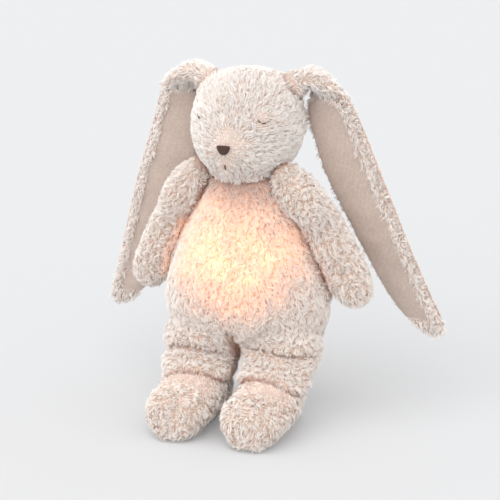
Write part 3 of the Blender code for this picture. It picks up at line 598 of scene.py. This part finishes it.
def rootsOn(mesh, spacing, seed):
    # evenly scattered places on the cloth, and the cloth's direction there
    chance = np.random.default_rng(seed)
    mesh.calc_loop_triangles()
    corners = np.empty(len(mesh.loop_triangles) * 3, dtype=np.int32)
    mesh.loop_triangles.foreach_get("vertices", corners)
    corners = corners.reshape(-1, 3)
    places = placesOf(mesh)
    outward = outwardOf(mesh)
    a, b, c = places[corners[:, 0]], places[corners[:, 1]], places[corners[:, 2]]
    area = np.linalg.norm(np.cross(b - a, c - a), axis=1) / 2
    wanted = int(area.sum() / spacing ** 2 * 5)
    chosen = chance.choice(len(area), wanted, p=area / area.sum())
    u, v = chance.random((2, wanted, 1))
    folded = u + v > 1
    u, v = np.where(folded, 1 - u, u), np.where(folded, 1 - v, v)
    spots = a[chosen] + (b - a)[chosen] * u + (c - a)[chosen] * v
    normal = outward[corners[chosen, 0]] * (1 - u - v)
    normal += outward[corners[chosen, 1]] * u + outward[corners[chosen, 2]] * v
    normal /= np.linalg.norm(normal, axis=1)[:, None]
    cells = np.floor(spots / (spacing * 1.12)).astype(np.int64)
    keys = (cells[:, 0] * 100003 + cells[:, 1]) * 100003 + cells[:, 2]
    first = np.sort(np.unique(keys, return_index=True)[1])
    return spots[first], normal[first]


def tuftShape(stations):
    # corners, face starts and map places of one three-sided tapering tuft
    rings = len(stations) - 1
    corners, starts, cells = [], [], []
    for ring in range(rings - 1):
        low, high = stations[ring], stations[ring + 1]
        for side in range(3):
            after = (side + 1) % 3
            starts.append(len(corners))
            corners += [ring * 3 + side, ring * 3 + after, ring * 3 + 3 + after, ring * 3 + 3 + side]
            cells += [(side / 3, low), ((side + 1) / 3, low), ((side + 1) / 3, high), (side / 3, high)]
    last = rings * 3 - 3
    for side in range(3):
        starts.append(len(corners))
        corners += [last + side, last + (side + 1) % 3, rings * 3]
        cells += [(side / 3, stations[-2]), ((side + 1) / 3, stations[-2]), ((side + 0.5) / 3, 1.0)]
    return np.array(corners), np.array(starts), np.array(cells)


def tuftLines(roots, outward, along, share, pile, chance):
    # the middle line of each tuft, which curls and leans with the others of its clump
    count = len(roots)
    along = along - outward * (along * outward).sum(1)[:, None]
    along /= np.linalg.norm(along, axis=1)[:, None] + 1e-9
    aside = np.cross(outward, along)
    clumps = max(1, int(count * (pile["spacing"] / pile["clump"]) ** 2))
    centres = chance.choice(count, clumps, replace=False)
    tree = KDTree(clumps)
    for i, centre in enumerate(centres):
        tree.insert(roots[centre], i)
    tree.balance()
    owner = np.array([tree.find(root)[1] for root in roots])
    members = np.bincount(owner, minlength=clumps).astype(float)[:, None]
    turn = chance.normal(0, pile["swirl"], clumps)[owner] + chance.normal(0, 0.3, count)
    heading = along * np.cos(turn)[:, None] + aside * np.sin(turn)[:, None]
    sideways = np.cross(outward, heading)
    uneven = 1 + chance.normal(0, 0.16, clumps)[owner] + chance.normal(0, 0.16, count)
    length = pile["length"] * share * uneven
    length = np.clip(length, 0.0006, pile["length"] * 1.5)[:, None]
    phase = (chance.uniform(0, 2 * pi, clumps)[owner] + chance.normal(0, 0.6, count))[:, None]
    line = []
    for s in pile["stations"]:
        place = roots + outward * (length * s * (1 - pile["droop"] * s))
        place = place + heading * (length * pile["lean"] * s ** 1.4)
        swing = 2 * pi * pile["turns"] * s + phase
        curl = length * pile["curl"] * s
        place = place + sideways * (curl * np.sin(swing)) + heading * (curl * np.cos(swing))
        middle = np.zeros((clumps, 3))
        np.add.at(middle, owner, place)
        middle /= np.maximum(members, 1)
        line.append(place + (middle[owner] - place) * (pile["pull"] * s))
    line[0] = line[0] - outward * pile["sunk"]
    tone = np.clip(0.5 + chance.normal(0, 0.16, clumps)[owner] + chance.normal(0, 0.16, count), 0, 1)
    return np.array(line), sideways, tone


def makeTufts(name, roots, outward, along, share, warm, shade, pile, seed):
    chance = np.random.default_rng(seed)
    count = len(roots)
    stations = pile["stations"]
    rings = len(stations) - 1
    line, sideways, tone = tuftLines(roots, outward, along, share, pile, chance)
    width = pile["radius"] * (0.55 + 0.45 * share)[:, None] * (1 + chance.normal(0, 0.12, (count, 1)))
    points = np.empty((count, rings * 3 + 1, 3))
    for ring in range(rings):
        way = line[ring + 1] - line[max(ring - 1, 0)]
        way /= np.linalg.norm(way, axis=1)[:, None] + 1e-9
        first = np.cross(way, sideways)
        first /= np.linalg.norm(first, axis=1)[:, None] + 1e-9
        second = np.cross(way, first)
        reach = width * (1 - stations[ring] ** 2 * 0.6)
        for side in range(3):
            angle = 2 * pi * side / 3
            points[:, ring * 3 + side] = line[ring] + (first * cos(angle) + second * sin(angle)) * reach
    points[:, -1] = line[-1]
    points[:, :, 2] = np.maximum(points[:, :, 2], pile["floor"])
    corners, starts, cells = tuftShape(stations)
    step = np.arange(count)[:, None]
    mesh = bpy.data.meshes.new(name)
    mesh.vertices.add(count * points.shape[1])
    mesh.vertices.foreach_set("co", points.ravel())
    mesh.loops.add(count * len(corners))
    loops = corners[None, :] + step * points.shape[1]
    mesh.loops.foreach_set("vertex_index", loops.ravel().astype(np.int32))
    mesh.polygons.add(count * len(starts))
    mesh.polygons.foreach_set("loop_start", (starts[None, :] + step * len(corners)).ravel().astype(np.int32))
    mesh.update(calc_edges=True)
    rise = np.repeat(stations, [3] * rings + [1])
    setValues(mesh, "rise", np.tile(rise, count))
    setValues(mesh, "tone", np.repeat(tone, points.shape[1]))
    setValues(mesh, "warm", np.repeat(warm, points.shape[1]))
    setValues(mesh, "shade", np.repeat(shade, points.shape[1]))
    across = int(np.ceil(np.sqrt(count)))
    cell = np.stack([np.arange(count) % across, np.arange(count) // across], 1)[:, None, :]
    spots = (cell + 0.08 + cells[None] * 0.84) / across
    mesh.uv_layers.new(name="OFBake").data.foreach_set("uv", spots.ravel().astype(np.float32))
    mesh.shade_flat()
    return mesh


def setValues(mesh, name, values):
    layer = mesh.attributes.new(name, "FLOAT", "POINT")
    layer.data.foreach_set("value", np.ascontiguousarray(values, dtype=np.float32))


def pileOf(**changes):
    # stations are the heights of a tuft's corners, as shares of its length
    return {"droop": 0.35, "turns": 0.8, "stations": (0.0, 0.52, 1.0), "sunk": 0.0006, "floor": 0.0004,
            **changes}


pile = {
    "head": pileOf(spacing=0.00098, clump=0.0028, length=0.0056, radius=0.00040, lean=0.95, droop=0.54,
                   curl=0.08, turns=0.5, swirl=0.50, pull=0.14),
    "torso": pileOf(spacing=0.00104, clump=0.0023, length=0.0056, radius=0.00041, lean=0.96, droop=0.55,
                    curl=0.08, turns=0.6, swirl=0.75, pull=0.15),
    "limb": pileOf(spacing=0.00112, clump=0.0026, length=0.0055, radius=0.00042, lean=0.84, curl=0.13,
                   turns=0.7, swirl=1.25, pull=0.20),
    "foot": pileOf(spacing=0.00114, clump=0.0027, length=0.0051, radius=0.00043, lean=0.84, curl=0.12,
                   swirl=1.1, pull=0.20),
    "ear": pileOf(spacing=0.00116, clump=0.0030, length=0.0054, radius=0.00044, lean=0.84, curl=0.12,
                  swirl=0.8, pull=0.24),
}


def growFur(name, fur, kind, body, seed, chosen=True, warmth=None):
    # fur holds places, outward and lying directions, shares of the full length, and shades
    grown = (fur[3] > 0.1) & chosen
    roots, outward, along, share, shade = (values[grown] for values in fur)
    warm = (warmth or warmAt)(roots)
    mesh = makeTufts(name, roots, outward, along, share, warm, shade, pile[kind], seed)
    print("   ", name, int(grown.sum()), "tufts")
    return newPiece(name, mesh, "palePile" if kind in ("head", "ear") else "pile", body)


def dressSkin(piece, finishName, body, replaced, warmth=None):
    mesh = piece.data
    mesh.materials.clear()
    mesh.materials.append(finishes[finishName])
    mesh.shade_smooth()
    if finishName == "backing":
        setValues(mesh, "warm", (warmth or warmAt)(placesOf(mesh)))
    if body:
        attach(piece, body)
    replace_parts(piece, *replaced)
    return piece


sizes = {name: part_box(name) for name in nodes}


def middle(name):
    low, high = sizes[name]
    return np.array([(a + b) / 2 for a, b in zip(low, high)])


nosePlace = middle("nose_patch")
eyePlaces = {name: middle(name) for name in ("left_eye_stitch", "right_eye_stitch")}
mouthPlace = middle("mouth_stitch")
flapPlace = middle("pocket_flap")
flapHalf = [(b - a) / 2 for a, b in zip(*sizes["pocket_flap"])]

skinLook = {
    "voxel": 0.0024,
    "sink": 0.0040,             # the cloth lies this far under the fur's outer surface
    "earVoxel": 0.0018,
    "earSink": 0.0028,
    "forms": {                  # gaps up to this are filled, rounds of smoothing, height of the lumps
        "head": (0.004, 8, 0.0012),
        "trunk": (0.005, 10, 0.0022),
        "foot": (0.003, 10, 0.0016),
        "arm": (0.008, 22, 0.0018),
        "ear": (0.0, 6, 0.0),
    },
}

lampGlow = {
    "middle": (-0.001, 0.165),  # across and up
    "reach": (0.102, 0.088, 0.090),     # across, up and down
    "share": 0.40,
    "spots": ((0.022, 0.171, 0.010), (-0.021, 0.166, 0.013), (0.038, 0.160, 0.011), (-0.004, 0.153, 0.014)),
    "spotShare": 0.12,
    "front": 0.028,             # no light behind this
    "lowest": 0.072,
    "armShare": {"left": 0.16, "right": 0.31},
    "armReach": 0.017,
    "armLow": (0.112, 0.145),   # heights over which an arm's glow comes in,
    "armHigh": (0.170, 0.205),  # and goes out again
    "armBack": (0.02, 0.035),
}


def warmAt(places):
    # how much of the lamp's light reaches the cloth from behind
    x, y, z = places.T
    glow = lampGlow
    across = (x - glow["middle"][0]) / glow["reach"][0]
    rise = z - glow["middle"][1]
    rise = rise / np.where(rise > 0, glow["reach"][1], glow["reach"][2])
    far = np.sqrt(across ** 2 + rise ** 2)
    warm = glow["share"] * (1 - easeIn(far, 0.2, 1.0))
    for spotX, spotZ, size in glow["spots"]:
        near = np.exp(-((x - spotX) ** 2 + (z - spotZ) ** 2) / size ** 2)
        warm = warm + glow["spotShare"] * near
    warm = warm * (1 - easeIn(y, glow["front"] - 0.03, glow["front"]))
    return np.clip(warm * easeIn(z, glow["lowest"], glow["lowest"] + 0.03), 0, 1)


def armWarmth(places):
    # the side of an arm that the belly shines on
    side = "left" if places[:, 0].mean() > 0 else "right"
    near = nearestOf(places, solidTree(["torso_plush"]))
    y, z = places[:, 1], places[:, 2]
    warm = lampGlow["armShare"][side] * (1 - easeIn(near, 0.002, lampGlow["armReach"]))
    warm = warm * easeIn(z, *lampGlow["armLow"]) * (1 - easeIn(z, *lampGlow["armHigh"]))
    return warm * (1 - easeIn(y, *lampGlow["armBack"]))


def pileFree(places, others, reach=0.0045):
    # full length in the open, shorter and with painted shade where pieces lie against each other, none inside
    # one
    tree = solidTree(others)
    near = nearestOf(places, tree)
    hidden = np.array([far > 0.0025 and inside(place, tree) for place, far in zip(places, near)])
    return np.where(hidden, 0, np.clip(near / reach, 0.45, 1)), 1 - easeIn(near, 0.0005, 0.0005 + 1.2 * reach)


def sunkSkin(name, nodeNames, voxel, fill, rounds, lumps, others, depthAt, swell=None):
    # the cloth under the pile: the solids' form, sunk by what the pile stands proud
    skin = softSkin(name, nodeNames, voxel, fill, rounds, lumps, swell=swell)
    places = placesOf(skin.data)
    depth = depthAt(places) * (0.15 + 0.85 * easeIn(nearestOf(places, solidTree(others)), 0.001, 0.010))
    setPlaces(skin.data, places - outwardOf(skin.data) * depth[:, None])
    return skin


def evenly(direction, count):
    return np.tile(direction, (count, 1)).astype(float)


# Head

def makeHead():
    others = ["torso_plush", "left_ear_pile", "right_ear_pile", "left_arm_plush", "right_arm_plush"]
    marks = [nosePlace, mouthPlace, eyePlaces["left_eye_stitch"]]

    def depthAt(places):
        depth = np.full(len(places), skinLook["sink"])
        for mark, reach in zip(marks, (0.018, 0.012, 0.013)):
            depth *= easeIn(np.linalg.norm(places - mark, axis=1), 0.004, reach)
        return depth

    skin = sunkSkin("headCloth", ["head_plush"], skinLook["voxel"], *skinLook["forms"]["head"], others,
                    depthAt)
    places, outward = rootsOn(skin.data, pile["head"]["spacing"], 10)
    away = places - nosePlace
    share, shade = pileFree(places, others)
    share *= 0.45 + 0.55 * easeIn(np.linalg.norm(away, axis=1), 0.007, 0.030)
    for eye, left in (("left_eye_stitch", 0.45), ("right_eye_stitch", 0.95)):
        near = np.linalg.norm((places - eyePlaces[eye]) * (0.8, 1, 1.3), axis=1)
        share *= left + (1 - left) * easeIn(near, 0.005, 0.012)
    near = np.linalg.norm(places - mouthPlace, axis=1)
    share *= 0.45 + 0.55 * easeIn(near, 0.003, 0.009)
    front = places[:, 1] < nosePlace[1] + 0.055
    # the painted shade where the head meets the other pieces is kept lighter
    shade *= 0.6
    fur = (places, outward, away, share, shade)
    growFur("headFurFront", fur, "head", "trunk", 11, front)
    growFur("headFurBack", fur, "head", "trunk", 12, ~front)
    dressSkin(skin, "backing", "trunk", ["head_plush"])


# Trunk, legs and feet

hip = {
    "top": 0.086,               # the leg's cloth turns with the leg below this
    "bottom": 0.052,
    "creaseHeight": 0.0745,
    "rightLower": 0.0050,       # the right leg's crease lies lower by this
    "creaseDepth": 0.0050,
    "creaseWidth": 0.0040,
}


thigh = {
    "fuller": 0.0075,           # how far the inner sides come towards each other
    "apart": 0.0012,            # and how near the middle plane they may come
}


def innerLeg(places):
    x, z = np.abs(places[:, 0]), places[:, 2]
    return (1 - easeIn(x, 0.010, 0.034)) * easeIn(z, 0.030, 0.048) * (1 - easeIn(z, 0.074, 0.090))


def inFlapColumn(places, margin):
    across = (places[:, 0] - flapPlace[0]) / (flapHalf[0] + margin)
    rise = (places[:, 2] - flapPlace[2]) / (flapHalf[2] + margin)
    return (across ** 2 + rise ** 2 < 1) & (places[:, 1] > 0)


def hipCrease(places):
    # how deep the fold at the top of each leg lies, round its front
    x, y, z = places.T
    front = 1 - easeIn(y, -0.02, 0.02)
    beside = easeIn(np.abs(x), 0.004, 0.02)
    height = hip["creaseHeight"] - 0.004 * ((np.abs(x) - 0.038) / 0.026) ** 2 + 0.0015 * np.sin(x * 95)
    height = height - np.where(x < 0, hip["rightLower"], 0)
    fold = np.exp(-((z - height) / hip["creaseWidth"]) ** 2)
    lower = 0.4 * np.exp(-((z - height + 0.021 + 0.003 * np.sin(x * 140)) / 0.003) ** 2)
    middleLine = np.exp(-(x / 0.006) ** 2) * (1 - easeIn(z, 0.082, 0.098))
    return np.clip((fold + lower) * beside + middleLine, 0, 1.2) * front


def makeTrunk():
    def depthAt(places):
        sunk = np.where(inFlapColumn(places, 0.002), 0.0, skinLook["sink"])
        return sunk + hip["creaseDepth"] * hipCrease(places)

    others = ["head_plush", "left_arm_plush", "right_arm_plush"]
    feet = ["left_foot_plush", "right_foot_plush"]
    whole = sunkSkin("torsoCloth", ["torso_plush", "left_leg_plush", "right_leg_plush"],
                     skinLook["voxel"], *skinLook["forms"]["trunk"], others + feet, depthAt)
    filled = placesOf(whole.data)
    apart = np.abs(filled[:, 0])
    closer = np.maximum(apart - thigh["fuller"] * innerLeg(filled), thigh["apart"])
    filled[:, 0] = np.sign(filled[:, 0]) * np.where(apart < thigh["apart"], apart, closer)
    setPlaces(whole.data, filled)
    places, outward = rootsOn(whole.data, pile["torso"]["spacing"], 20)
    share, shade = pileFree(places, others + ["pocket_flap"])
    footShare, footShade = pileFree(places, feet, 0.0018)
    folded = np.clip(hipCrease(places), 0, 1)
    pressedAndShaded = innerLeg(places) * (1 - easeIn(np.abs(places[:, 0]), 0.002, 0.010))
    share = np.minimum(share, footShare) * (1 - 0.5 * folded) * (1 - 0.55 * pressedAndShaded)
    # painted shade under the chin, in the armpits, in the hip folds, between the thighs and where the legs
    # meet the feet
    chinShadow = 1 - easeIn(nearestOf(places, solidTree(["head_plush"])), 0.004, 0.030)
    armpitShade = 1 - easeIn(nearestOf(places, solidTree(others[1:])), 0.001, 0.0085)
    shade = np.max([shade, footShade, 0.4 * chinShadow, folded ** 4, pressedAndShaded, armpitShade], axis=0)
    share[inFlapColumn(places, 0.0005)] = 0
    fur = (places, outward, evenly((0, 0, -1), len(places)), share, shade)
    upper = places[:, 2] > hip["top"]
    front = places[:, 1] < 0.012
    high = places[:, 2] > 0.150
    growFur("chestFur", fur, "torso", "trunk", 21, upper & front & high)
    growFur("bellyFur", fur, "torso", "trunk", 22, upper & front & ~high)
    growFur("backFur", fur, "torso", "trunk", 29, upper & ~front)
    skinPlaces = placesOf(whole.data)
    for side, name in bothSides:
        mine = ~upper & (places[:, 0] * side > 0)
        legFur = growFur(name + "LegFur", fur, "limb", None, 23 + side, mine)
        legSkin = addObject(name + "LegCloth", whole.data.copy())
        below = skinPlaces[:, 2] < hip["top"] + 0.004
        keepVertices(legSkin.data, below & (skinPlaces[:, 0] * side > -0.002))
        dressSkin(legSkin, "backing", None, [name + "_leg_plush"])
        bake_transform(legFur)
        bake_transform(legSkin)
    keepVertices(whole.data, skinPlaces[:, 2] > hip["top"] - 0.003)
    dressSkin(whole, "backing", "trunk", ["torso_plush"])


sole = {
    "roundHeight": 0.020,       # below this the foot's sides curve in to the sole
    "drawnIn": 0.16,
}


def makeFeet():
    for side, name in bothSides:
        others = [name + "_leg_plush", "torso_plush"]
        skin = sunkSkin(name + "FootCloth", [name + "_foot_plush"], skinLook["voxel"],
                        *skinLook["forms"]["foot"], others,
                        lambda places: skinLook["sink"] * easeIn(places[:, 2], 0.001, 0.012))
        curved = placesOf(skin.data)
        under = np.clip(1 - curved[:, 2] / sole["roundHeight"], 0, 1)
        drawnIn = sole["drawnIn"] * (1 - np.sqrt(1 - under ** 2))
        centre = middle(name + "_foot_plush")
        curved[:, :2] += (centre[:2] - curved[:, :2]) * drawnIn[:, None]
        curved[:, 2] = np.maximum(curved[:, 2], 0.0006)
        setPlaces(skin.data, curved)
        places, outward = rootsOn(skin.data, pile["foot"]["spacing"], 30 + side)
        share, shade = pileFree(places, others, 0.0018)
        share[(places[:, 2] < 0.004) & (outward[:, 2] < -0.6)] = 0.4
        smooth = easeIn(outward[:, 2], 0.3, 0.7) * easeIn(places[:, 1], -0.070, -0.052)
        share *= 1 - 0.6 * smooth
        fur = (places, outward, evenly((0, -1, -0.35), len(places)), share, shade)
        growFur(name + "FootFur", fur, "foot", name + "_leg", 31 + side)
        dressSkin(skin, "backing", name + "_leg", [name + "_foot_plush"])


# Arms

shoulder = {
    "middle": (0.0550, 0.0045, 0.2140),     # the left one's swell, where the arm is sewn on
    "reach": (0.0185, 0.0240, 0.0345),
    "tilt": 40,
    "still": (0.030, 0.010, 0.238),         # a place on the trunk's side of the shoulder
    "turning": (0.056, 0.014, 0.200),       # and one on the arm's side
}


def makeArms():
    for side, name in bothSides:
        others = ["torso_plush", "head_plush"]
        across = Vector((side, 1, 1))
        skin = sunkSkin(name + "ArmCloth", [name + "_arm_plush"], skinLook["voxel"],
                        *skinLook["forms"]["arm"], others,
                        lambda places: np.full(len(places), skinLook["sink"]),
                        (Vector(shoulder["middle"]) * across, shoulder["reach"], -side * shoulder["tilt"]))
        places, outward = rootsOn(skin.data, pile["limb"]["spacing"], 40 + side)
        share, shade = pileFree(places, others)
        lying = evenly((side * 0.5, 0, -0.86), len(places))
        fur = growFur(name + "ArmFur", (places, outward, lying, share, shade), "limb", None, 41 + side,
                      warmth=armWarmth)
        dressSkin(skin, "backing", None, [name + "_arm_plush"], warmth=armWarmth)
        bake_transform(fur)
        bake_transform(skin)


# Ears

rimLook = {
    "width": 0.0086,            # how far the pile laps over the lining, along the ear and at its tip
    "tipWidth": 0.0125,
    "length": 0.9,
}

liningLook = {
    "voxel": 0.0011,
    "rounds": 4,                # of smoothing
    "foldSize": 0.028,
    "foldHeight": 0.0022,
    "foldMiddle": 0.42,         # share of the folds that lie below the solid's face
}


def earEdge(mesh, places):
    # how far each place lies inside the ear's outer edge
    spots = placesOf(mesh)
    levels = np.linspace(spots[:, 2].min(), spots[:, 2].max(), 90)
    outer = np.array([np.abs(spots[np.abs(spots[:, 2] - level) < 0.003, 0]).max() for level in levels])
    return np.interp(places[:, 2], levels, outer) - np.abs(places[:, 0])


def makeEars():
    for side, name in bothSides:
        pileNode = name + "_ear_pile"
        liningNode = name + "_ear_lining"
        others = ["head_plush", name + "_arm_plush"]
        lining = solidTree([liningNode])
        skin = sunkSkin(name + "EarCloth", [pileNode, liningNode], skinLook["earVoxel"],
                        *skinLook["forms"]["ear"], others,
                        lambda places: np.full(len(places), skinLook["earSink"]))
        places, outward = rootsOn(skin.data, pile["ear"]["spacing"], 50 + side)
        share, shade = pileFree(places, others)
        share[inTheWay(places, outward, lining, 0.02) & (outward[:, 1] < -0.55)] = 0
        # the painted shade where the ear meets the head and arm is kept lighter
        shade *= 0.5
        along = evenly((side * 0.35, 0.2, -0.9), len(places))
        rim = nearestOf(places, lining) < 0.008
        along[rim] = (-side * 0.5, -0.7, -0.5)
        along[places[:, 2] > sizes[liningNode][1][2]] = (side * 0.9, 0.1, -0.25)
        growFur(name + "EarFur", (places, outward, along, share, shade), "ear", name + "_ear", 51 + side)
        dressSkin(skin, "backing", name + "_ear", [pileNode])
        cloth = copyOf(name + "EarLining", [liningNode])
        addStep(cloth, "REMESH", mode="VOXEL", voxel_size=liningLook["voxel"])
        addStep(cloth, "SMOOTH", factor=0.5, iterations=liningLook["rounds"])
        folds = bpy.data.textures.new(name + "EarFolds", "CLOUDS")
        folds.noise_scale = liningLook["foldSize"]
        addStep(cloth, "DISPLACE", strength=liningLook["foldHeight"], mid_level=liningLook["foldMiddle"],
                texture=folds)
        settle(cloth)
        places, outward = rootsOn(cloth.data, pile["ear"]["spacing"], 55 + side)
        edge = earEdge(cloth.data, places)
        low = sizes[liningNode][0][2]
        nearTip = 1 - easeIn(places[:, 2], low, low + 0.07)
        band = rimLook["width"] + (rimLook["tipWidth"] - rimLook["width"]) * nearTip
        share = rimLook["length"] * (1 - easeIn(edge, band - 0.003, band))
        share = np.maximum(share, rimLook["length"] * (1 - easeIn(places[:, 2], low + 0.012, low + 0.020)))
        share[outward[:, 1] > 0.3] = 0
        fur = (places, outward, evenly((side * 0.2, -0.1, -0.95), len(places)), share, np.zeros(len(places)))
        growFur(name + "EarRimFur", fur, "ear", name + "_ear", 57 + side)
        dressSkin(cloth, "lining", name + "_ear", [liningNode])


# Face

threadLook = {
    "eyeRadius": 0.00070,
    "mouthRadius": 0.00075,
    "plies": 3,
    "twist": 0.0022,            # length of one turn of a ply
    "corners": 6,               # round a ply
    "step": 0.00022,
    "leftEye": -0.0008,         # how far behind the head's solid each lies
    "rightEye": 0.0032,
    "mouth": -0.0006,
}


def ropeMesh(name, points, radius):
    # plies wound round one line
    plies, corners = threadLook["plies"], threadLook["corners"]
    points = np.array(points)
    steps = np.linalg.norm(np.diff(points, axis=0), axis=1)
    along = np.concatenate([[0], np.cumsum(steps)])
    fine = np.linspace(0, along[-1], int(along[-1] / threadLook["step"]) + 2)
    path = np.stack([np.interp(fine, along, points[:, k]) for k in range(3)], 1)
    way = np.gradient(path, axis=0)
    way /= np.linalg.norm(way, axis=1)[:, None]
    side = np.cross(way, (0.0, -1.0, 0.0))
    side /= np.linalg.norm(side, axis=1)[:, None]
    over = np.cross(side, way)
    shell = bmesh.new()
    for ply in range(plies):
        turn = fine / threadLook["twist"] * 2 * pi + 2 * pi * ply / plies
        centre = path + (side * np.cos(turn)[:, None] + over * np.sin(turn)[:, None]) * radius * 0.45
        rings = []
        for k in range(len(fine)):
            ring = []
            for s in range(corners):
                angle = 2 * pi * s / corners
                spoke = (side[k] * cos(angle) + over[k] * sin(angle)) * radius * 0.58
                ring.append(shell.verts.new(centre[k] + spoke))
            rings.append(ring)
        for low, high in zip(rings, rings[1:]):
            for s in range(corners):
                shell.faces.new((low[s], low[(s + 1) % corners], high[(s + 1) % corners], high[s]))
        shell.faces.new(list(reversed(rings[0])))
        shell.faces.new(rings[-1])
    bmesh.ops.recalc_face_normals(shell, faces=shell.faces)
    mesh = meshFrom(shell, name)
    mesh.shade_smooth()
    return mesh


def makeFace():
    head = solidTree(["head_plush"])

    def onHead(x, z, depth):
        return head.ray_cast(Vector((x, -0.3, z)), Vector((0, 1, 0)))[0] + Vector((0, depth, 0))

    for side in ("left", "right"):
        name = side + "_eye_stitch"
        low, high = sizes[name]
        middleX = (high[0] + low[0]) / 2
        halfWidth = (high[0] - low[0]) / 2 - 0.0016
        spots = []
        for i in range(13):
            t = 2 * i / 12 - 1
            z = low[2] + 0.001 + (high[2] - low[2] - 0.002) * t * t
            spots.append(onHead(middleX + t * halfWidth, z, threadLook[side + "Eye"]))
        mesh = ropeMesh(name, spots, threadLook["eyeRadius"])
        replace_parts(newPiece(side + "EyeThread", mesh, "thread", "trunk"), name)
    low, high = sizes["mouth_stitch"]
    drop = (high[2] - low[2] - 0.0016) / 6
    spots = [onHead(0, high[2] - 0.0008 - drop * i, threadLook["mouth"]) for i in range(7)]
    mesh = ropeMesh("mouthThread", spots, threadLook["mouthRadius"])
    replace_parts(newPiece("mouthThread", mesh, "thread", "trunk"), "mouth_stitch")
    makeNose()


noseShape = {
    "outline": ((-0.52, 0.27), (-0.47, 0.43), (-0.18, 0.45), (0.18, 0.45), (0.47, 0.43), (0.52, 0.27),
                (0.42, -0.10), (0.22, -0.48), (-0.22, -0.48), (-0.42, -0.10)),
    "rings": ((1.0, 1.0), (1.04, 0.55), (0.92, 0.2), (0.62, 0.03), (0.25, 0.0)),
}


def makeNose():
    low, high = sizes["nose_patch"]
    width = high[0] - low[0]
    height = high[2] - low[2]
    depth = high[1] - low[1]
    shell = bmesh.new()
    loops = []
    for scale, back in noseShape["rings"]:
        loops.append([shell.verts.new(((low[0] + high[0]) / 2 + x * width * scale,
                                       low[1] + back * depth - 0.0006,
                                       (low[2] + high[2]) / 2 + z * height * scale))
                      for x, z in noseShape["outline"]])
    for first, second in zip(loops, loops[1:]):
        for i in range(len(first)):
            j = (i + 1) % len(first)
            shell.faces.new((first[i], first[j], second[j], second[i]))
    shell.faces.new(loops[0])
    shell.faces.new(loops[-1])
    bmesh.ops.recalc_face_normals(shell, faces=shell.faces)
    piece = addObject("nosePad", meshFrom(shell, "nosePad"))
    addStep(piece, "SUBSURF", levels=3, render_levels=3)
    settle(piece)
    piece.data.materials.append(finishes["felt"])
    piece.data.shade_smooth()
    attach(piece, "trunk")
    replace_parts(piece, "nose_patch")


# Flap, pocket and tapes at the back

def makeFlap():
    skin = softSkin("flapCloth", ["pocket_flap"], 0.002, 0.0, 4, 0.0)
    places = placesOf(skin.data)
    outward = outwardOf(skin.data)
    outside = easeIn(outward[:, 1], 0.25, 0.7)
    setPlaces(skin.data, places - outward * (skinLook["sink"] * outside)[:, None])
    places, outward = rootsOn(skin.data, pile["torso"]["spacing"], 60)
    share = np.where(outward[:, 1] > 0.2, 1.0, 0.0)
    # painted shade round the flap's edge, where it lies against the trunk
    edge = 1 - easeIn(nearestOf(places, solidTree(["torso_plush"])), 0.0005, 0.0045)
    fur = (places, outward, evenly((0, 0, -1), len(places)), share, 0.7 * edge)
    growFur("flapFur", fur, "torso", "pocket_flap", 61)
    dressSkin(skin, "pocket", "pocket_flap", ["pocket_flap"])


def makePocket():
    lining = copyOf("pocketSleeve", ["pocket_lining"])
    addStep(lining, "REMESH", mode="VOXEL", voxel_size=0.0008)
    settle(lining)
    dressSkin(lining, "pocket", "trunk", ["pocket_lining"])


tape = {
    "pitch": 0.0012,
    "hookHeight": 0.0007,
    "hookRadius": 0.00022,
}


def makeTapes():
    for name, body, facing in (("hook_strip", "pocket_flap", -1), ("loop_strip", "trunk", 1)):
        low, high = sizes[name]
        shell = bmesh.new()
        shell.from_mesh(nodes[name].data)
        face = low[1] if facing < 0 else high[1]
        face -= facing * tape["hookHeight"]
        columns = int((high[0] - low[0]) / tape["pitch"]) - 1
        rows = int((high[2] - low[2]) / tape["pitch"]) - 1
        for i in range(columns):
            for j in range(rows):
                x = low[0] + tape["pitch"] * (i + 1 + 0.3 * (j % 2))
                z = low[2] + tape["pitch"] * (j + 1)
                made = bmesh.ops.create_cone(shell, segments=5, radius1=tape["hookRadius"],
                                             radius2=tape["hookRadius"] * 0.6, depth=tape["hookHeight"] * 1.6)
                for vertex in made["verts"]:
                    x0, y0, z0 = vertex.co
                    vertex.co = (x + x0, face + facing * z0, z + y0)
        mesh = meshFrom(shell, name + "Tape")
        piece = newPiece("hookTape" if facing < 0 else "loopTape", mesh, "tape", body)
        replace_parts(piece, name)


# Light and sound unit

unitFinishes = {
    "light_diffuser": "frosted", "rear_housing": "white", "back_cover": "white",
    "main_board": "board", "button_board": "board", "battery_cell": "foil",
    "speaker_driver": "speaker", "charging_socket": "steel",
    **{kind + "_button": "button" for kind in ("sound", "power", "light")},
    **{kind + "_button_switch": "switch" for kind in ("sound", "power", "light")},
    **{"cover_screw_" + str(i): "steel" for i in range(1, 4)},
    **{"led_" + str(i): "resin" for i in range(1, 7)},
}


def dressUnit():
    for name, finishName in unitFinishes.items():
        mesh = nodes[name].data
        if not mesh.materials:
            mesh.materials.append(finishes[finishName])
        for index in range(len(mesh.materials)):
            mesh.materials[index] = finishes[finishName]


print("head")
makeHead()
print("trunk and legs")
makeTrunk()
print("feet")
makeFeet()
print("arms")
makeArms()
print("ears")
makeEars()
print("face")
makeFace()
print("flap, pocket and tapes")
makeFlap()
makePocket()
makeTapes()
print("light unit")
dressUnit()
